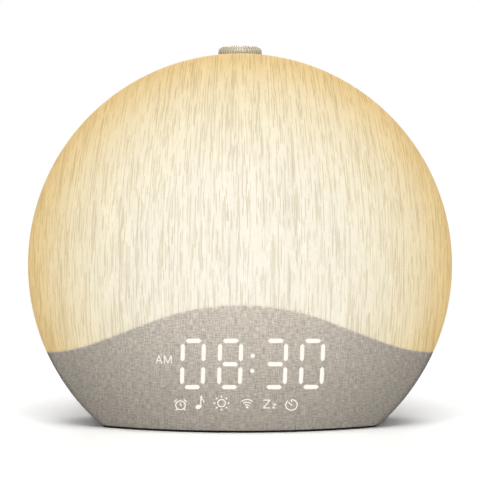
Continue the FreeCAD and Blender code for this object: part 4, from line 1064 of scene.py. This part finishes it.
    def _sleep(self) -> Sign:
        """Draws a large and a small letter of sleep."""
        sign = Sign("sign_sleep", self.skin)
        for x, z, half, line in ((11.1, 13.05, 1.75, self.line), (14.2, 12.1, 0.85, self.line * 0.8)):
            wide = half * 0.78
            sign.bar((x - wide, z + half), (x + wide, z + half), line)
            sign.bar((x - wide, z - half), (x + wide, z - half), line)
            sign.bar((x - wide, z - half), (x + wide, z + half), line)
        return sign

    def _timer(self) -> Sign:
        """Draws a timer: an open ring, a stub and a hand."""
        sign = Sign("sign_timer", self.skin)
        x, z = self.timer_x, self.sign_z - 0.4
        sign.arc((x, z), 2.4, 128, 322, self.line)
        sign.bar((x, z + 2.4), (x, z + 1.3), self.line)
        sign.bar((x - 1.3, z + 1.25), (x + 0.25, z - 0.25), self.line)
        return sign


@dataclass
class MouldedParts:
    """CAD parts in view from outside, shown with smooth curves and their own finishes."""

    MERGE_M = 1e-7
    FLAT_DEG = 0.5
    CREASE_DEG = 28
    LARGE_FACE_WEIGHT = 90

    shell: Finish = Finish("housing_plastic", (214, 206, 189), 0.55, grain_mm=0.35, grain_depth_mm=0.02)
    # The knob's finish paints shade down in the grooves between its ribs.
    knob: Finish = RibbedFinish("knob_plastic", (228, 218, 195), 0.34, grain_mm=0.12, grain_depth_mm=0.003,
                                tone=0.02)
    # The knob's cap is a little darker than the knob, as painted shade for the thin dark line along its top.
    cap_painted_shade: Finish = Finish("knob_face_painted_shade", (196, 187, 166), 0.42, grain_mm=0.12, grain_depth_mm=0.003)
    key: Finish = Finish("key_plastic", (206, 198, 180), 0.45, grain_mm=0.25, grain_depth_mm=0.01)
    # The foot's colour is pushed near black, past its own, as painted shade for the shadowed gap under the
    # clock.
    rubber_and_painted_shade: Finish = Finish("foot_rubber", (9, 9, 9), 0.95, grain_mm=0.3, grain_depth_mm=0.03)

    def smooth_copy(self, node: bpy.types.Object, name: str) -> bpy.types.Object:
        """Copies a CAD node with its facets merged and shaded as the curves they stand for.

        Args:
            node: The CAD node's object.
            name: Name of the new piece.

        Returns:
            The new piece.
        """
        bm = bmesh.new()
        bm.from_mesh(node.data)
        bmesh.ops.remove_doubles(bm, verts=bm.verts, dist=self.MERGE_M)
        bmesh.ops.dissolve_limit(
            bm, angle_limit=math.radians(self.FLAT_DEG), verts=bm.verts, edges=bm.edges
        )
        mesh = bpy.data.meshes.new(name)
        bm.to_mesh(mesh)
        bm.free()
        mesh.shade_smooth()
        mesh.set_sharp_from_angle(angle=math.radians(self.CREASE_DEG))
        piece = new_object(name, mesh)
        even = piece.modifiers.new("even_shading", "WEIGHTED_NORMAL")
        even.keep_sharp = True
        even.weight = self.LARGE_FACE_WEIGHT
        return applied(piece)

    def build(self, nodes: dict[str, bpy.types.Object]) -> None:
        """Makes and dresses every such part.

        Args:
            nodes: The frame's CAD nodes by name.
        """
        shell, knob, key = self.shell.material(), self.knob.material(), self.key.material()
        rows = [
            ("rear_housing", "rear_shell", shell, HOUSING, "housing_plastic"),
            ("base_plate", "bottom_plate", shell, HOUSING, "housing_plastic"),
            ("speaker_grille", "slotted_grille", shell, HOUSING, "grille_plastic"),
            ("foot_ring", "rubber_foot", self.rubber_and_painted_shade.material(), HOUSING, "foot_rubber"),
            ("battery_door", "coin_slot_door", shell, "battery_door", "housing_plastic"),
            ("knob_shell", "ribbed_knob", knob, "knob", "knob_plastic"),
            ("knob_cap", "knob_disc", self.cap_painted_shade.material(), "knob", "knob_face"),
        ]
        rows += [(k + "_key", k + "_button", key, k + "_key", "key_plastic") for k in KEY_NAMES]
        for node, name, material, body, slot in rows:
            dress(self.smooth_copy(nodes[node], name), material, body, slot, node)


@dataclass
class InnerParts:
    """Finishes of the CAD nodes inside the clock, by material slot."""

    finishes: tuple[Finish, ...] = (
        Finish("shell_plastic", (196, 192, 182), 0.6),
        Finish("dark_plastic", (34, 34, 36), 0.6),
        Finish("clear_guide", (240, 238, 230), 0.2, coat=0.4),
        Finish("lamp", (250, 240, 200), 0.25),
        Finish("circuit_board", (22, 92, 52), 0.35, grain_mm=1.4, tone=0.2, coat=0.3),
        Finish("white_board", (232, 232, 228), 0.35, grain_mm=1.4),
        Finish("ribbon", (196, 140, 60), 0.35, streak=0.2, grain_mm=0.8, tone=0.2),
        Finish("reflector", (246, 246, 244), 0.3),
        Finish("white_plastic", (226, 226, 222), 0.55),
        Finish("socket_plastic", (222, 216, 198), 0.5),
        Finish("plated_steel", (196, 196, 198), 0.28, 1.0, streak=6.0, grain_mm=0.15),
        Finish("encoder_metal", (178, 178, 180), 0.35, 1.0, streak=4.0, grain_mm=0.15),
        Finish("shaft_metal", (205, 205, 207), 0.25, 1.0, streak=5.0, grain_mm=0.12),
        Finish("dust_cloth", (20, 20, 20), 0.95, grain_mm=0.5, grain_depth_mm=0.08, tone=0.4),
        Finish("foam", (30, 30, 30), 0.95, grain_mm=0.8, grain_depth_mm=0.2, tone=0.3),
        Finish("cone_paper", (32, 32, 33), 0.8, grain_mm=0.7, grain_depth_mm=0.04, tone=0.2),
        Finish("magnet", (66, 66, 68), 0.5, 0.8),
        Finish("cell_steel", (205, 205, 205), 0.25, 1.0, grain_mm=0.12),
        Finish("screw_steel", (150, 150, 152), 0.35, 1.0, grain_mm=0.2),
        Finish("wire", (40, 40, 42), 0.45, grain_mm=0.9),
    )

    def build(self, nodes: dict[str, bpy.types.Object], record: dict[str, Any]) -> None:
        """Gives every shown CAD node the material of its slot.

        Args:
            nodes: The frame's CAD nodes by name.
            record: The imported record, which names each node's slot.
        """
        materials = {finish.name: finish.material() for finish in self.finishes}
        for part in record["subparts"]:
            node = nodes[part["node"]]
            made = materials.get(part["material_slot"])
            if node.hide_render or made is None:
                continue
            node.data.materials.clear()
            node.data.materials.append(made)
            log.info("node %s has finish %s", node.name, made.name)


@dataclass(frozen=True)
class Lamp:
    """A soft square lamp that no camera sees."""

    name: str
    place: tuple[float, float, float]
    aim: tuple[float, float, float]
    size: float
    power: float

    def build(self) -> None:
        """Puts the lamp in the scene."""
        data = bpy.data.lights.new(self.name, "AREA")
        data.size = self.size
        data.energy = self.power
        lamp = bpy.data.objects.new(self.name, data)
        lamp.location = self.place
        lamp.rotation_euler = (Vector(self.aim) - Vector(self.place)).to_track_quat("-Z", "Y").to_euler()
        lamp.visible_camera = False
        bpy.context.scene.collection.objects.link(lamp)


@dataclass
class Studio:
    """Camera, lamps, white floor and white surroundings."""

    image_px: int = 480
    focal_px: float = 2701.5
    sensor_mm: float = 36.0
    camera_place: tuple[float, float, float] = (0.0, -1.15, 0.15)
    pitch: float = 0.06155
    fill: float = 0.06
    floor_bounce: float = 0.17
    floor_shown: float = 1.2
    floor_fade_mm: tuple[float, float] = (230.0, 400.0)
    floor_half: float = 6.0
    near_clip: float = 0.05
    lamps: tuple[Lamp, ...] = (
        Lamp("top_lamp", (0.0, -0.75, 1.35), (0.0, 0.0, 0.05), 1.0, 16.0),
        Lamp("front_lamp", (0.0, -0.35, 0.05), (0.0, 0.0, 0.04), 0.12, 0.70),
        Lamp("back_lamp", (0.0, 1.05, 1.15), (0.0, 0.0, 0.07), 0.8, 10.0),
        Lamp("low_back_lamp", (0.0, 1.30, 0.30), (0.0, 0.0, 0.07), 0.4, 6.0),
    )

    def build(self) -> None:
        """Sets up everything around the clock."""
        self._camera()
        self._world()
        self._floor()
        for lamp in self.lamps:
            lamp.build()

    def _camera(self) -> None:
        """Puts the camera at the photograph's place."""
        data = bpy.data.cameras.new("camera")
        data.sensor_width = self.sensor_mm
        data.lens = self.focal_px / self.image_px * self.sensor_mm
        data.clip_start = self.near_clip
        camera = bpy.data.objects.new("camera", data)
        camera.location = self.camera_place
        camera.rotation_euler = (math.pi / 2 - self.pitch, 0, 0)
        bpy.context.scene.collection.objects.link(camera)
        bpy.context.scene.camera = camera

    def _world(self) -> None:
        """White where it is seen, and a plain soft fill for everything else."""
        world = bpy.data.worlds.new("studio")
        bpy.context.scene.world = world
        world.use_nodes = True
        graph = Graph(world.node_tree)
        fill = graph.node("ShaderNodeBackground", {}, {"Color": WHITE, "Strength": self.fill})
        white = graph.node("ShaderNodeBackground", {}, {"Color": WHITE, "Strength": 1.0})
        graph.end("ShaderNodeOutputWorld", graph.one_of(graph.seen(), fill, white))

    def _floor(self) -> None:
        """A pale floor that keeps the clock's soft shadow and is plain white further off."""
        bm = bmesh.new()
        bmesh.ops.create_grid(bm, x_segments=1, y_segments=1, size=self.floor_half)
        mesh = bpy.data.meshes.new("floor")
        bm.to_mesh(mesh)
        bm.free()
        material = bpy.data.materials.new("floor_white")
        material.use_nodes = True
        graph = Graph(material.node_tree)
        matt, shown = (
            graph.node("ShaderNodeBsdfDiffuse", {}, {"Color": (tone, tone, tone, 1.0)})
            for tone in (self.floor_bounce, self.floor_shown)
        )
        white = graph.node("ShaderNodeEmission", {}, {"Color": WHITE, "Strength": 1.0})
        x, y, _ = graph.place()
        away = ((x * x + y * y) ** 0.5).between(*self.floor_fade_mm)
        surface = graph.one_of(graph.seen(), matt, graph.one_of(away, shown, white))
        graph.end("ShaderNodeOutputMaterial", surface)
        mesh.materials.append(material)
        new_object("floor", mesh)


def main() -> None:
    """Builds the clock's looks in order."""
    logging.basicConfig(level=logging.INFO, format="%(message)s")
    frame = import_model()
    view = bpy.context.scene.view_settings
    view.view_transform = "Standard"
    Studio().build()
    dome_low, dome_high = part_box("diffuser_dome")
    cloth_low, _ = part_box("fabric_wrap")
    radius = round(dome_high.x / MM, 1)
    skin = FrontSkin(
        radius=radius,
        foot=cloth_low.z / MM,
        front_y=dome_low.y / MM,
        seam_y=dome_high.y / MM,
        centre_z=dome_high.z / MM - radius,
    )
    skin.build()
    Display(skin).build()
    MouldedParts().build(frame["nodes"])
    InnerParts().build(frame["nodes"], frame["record"])


if __name__ == "__main__":
    main()
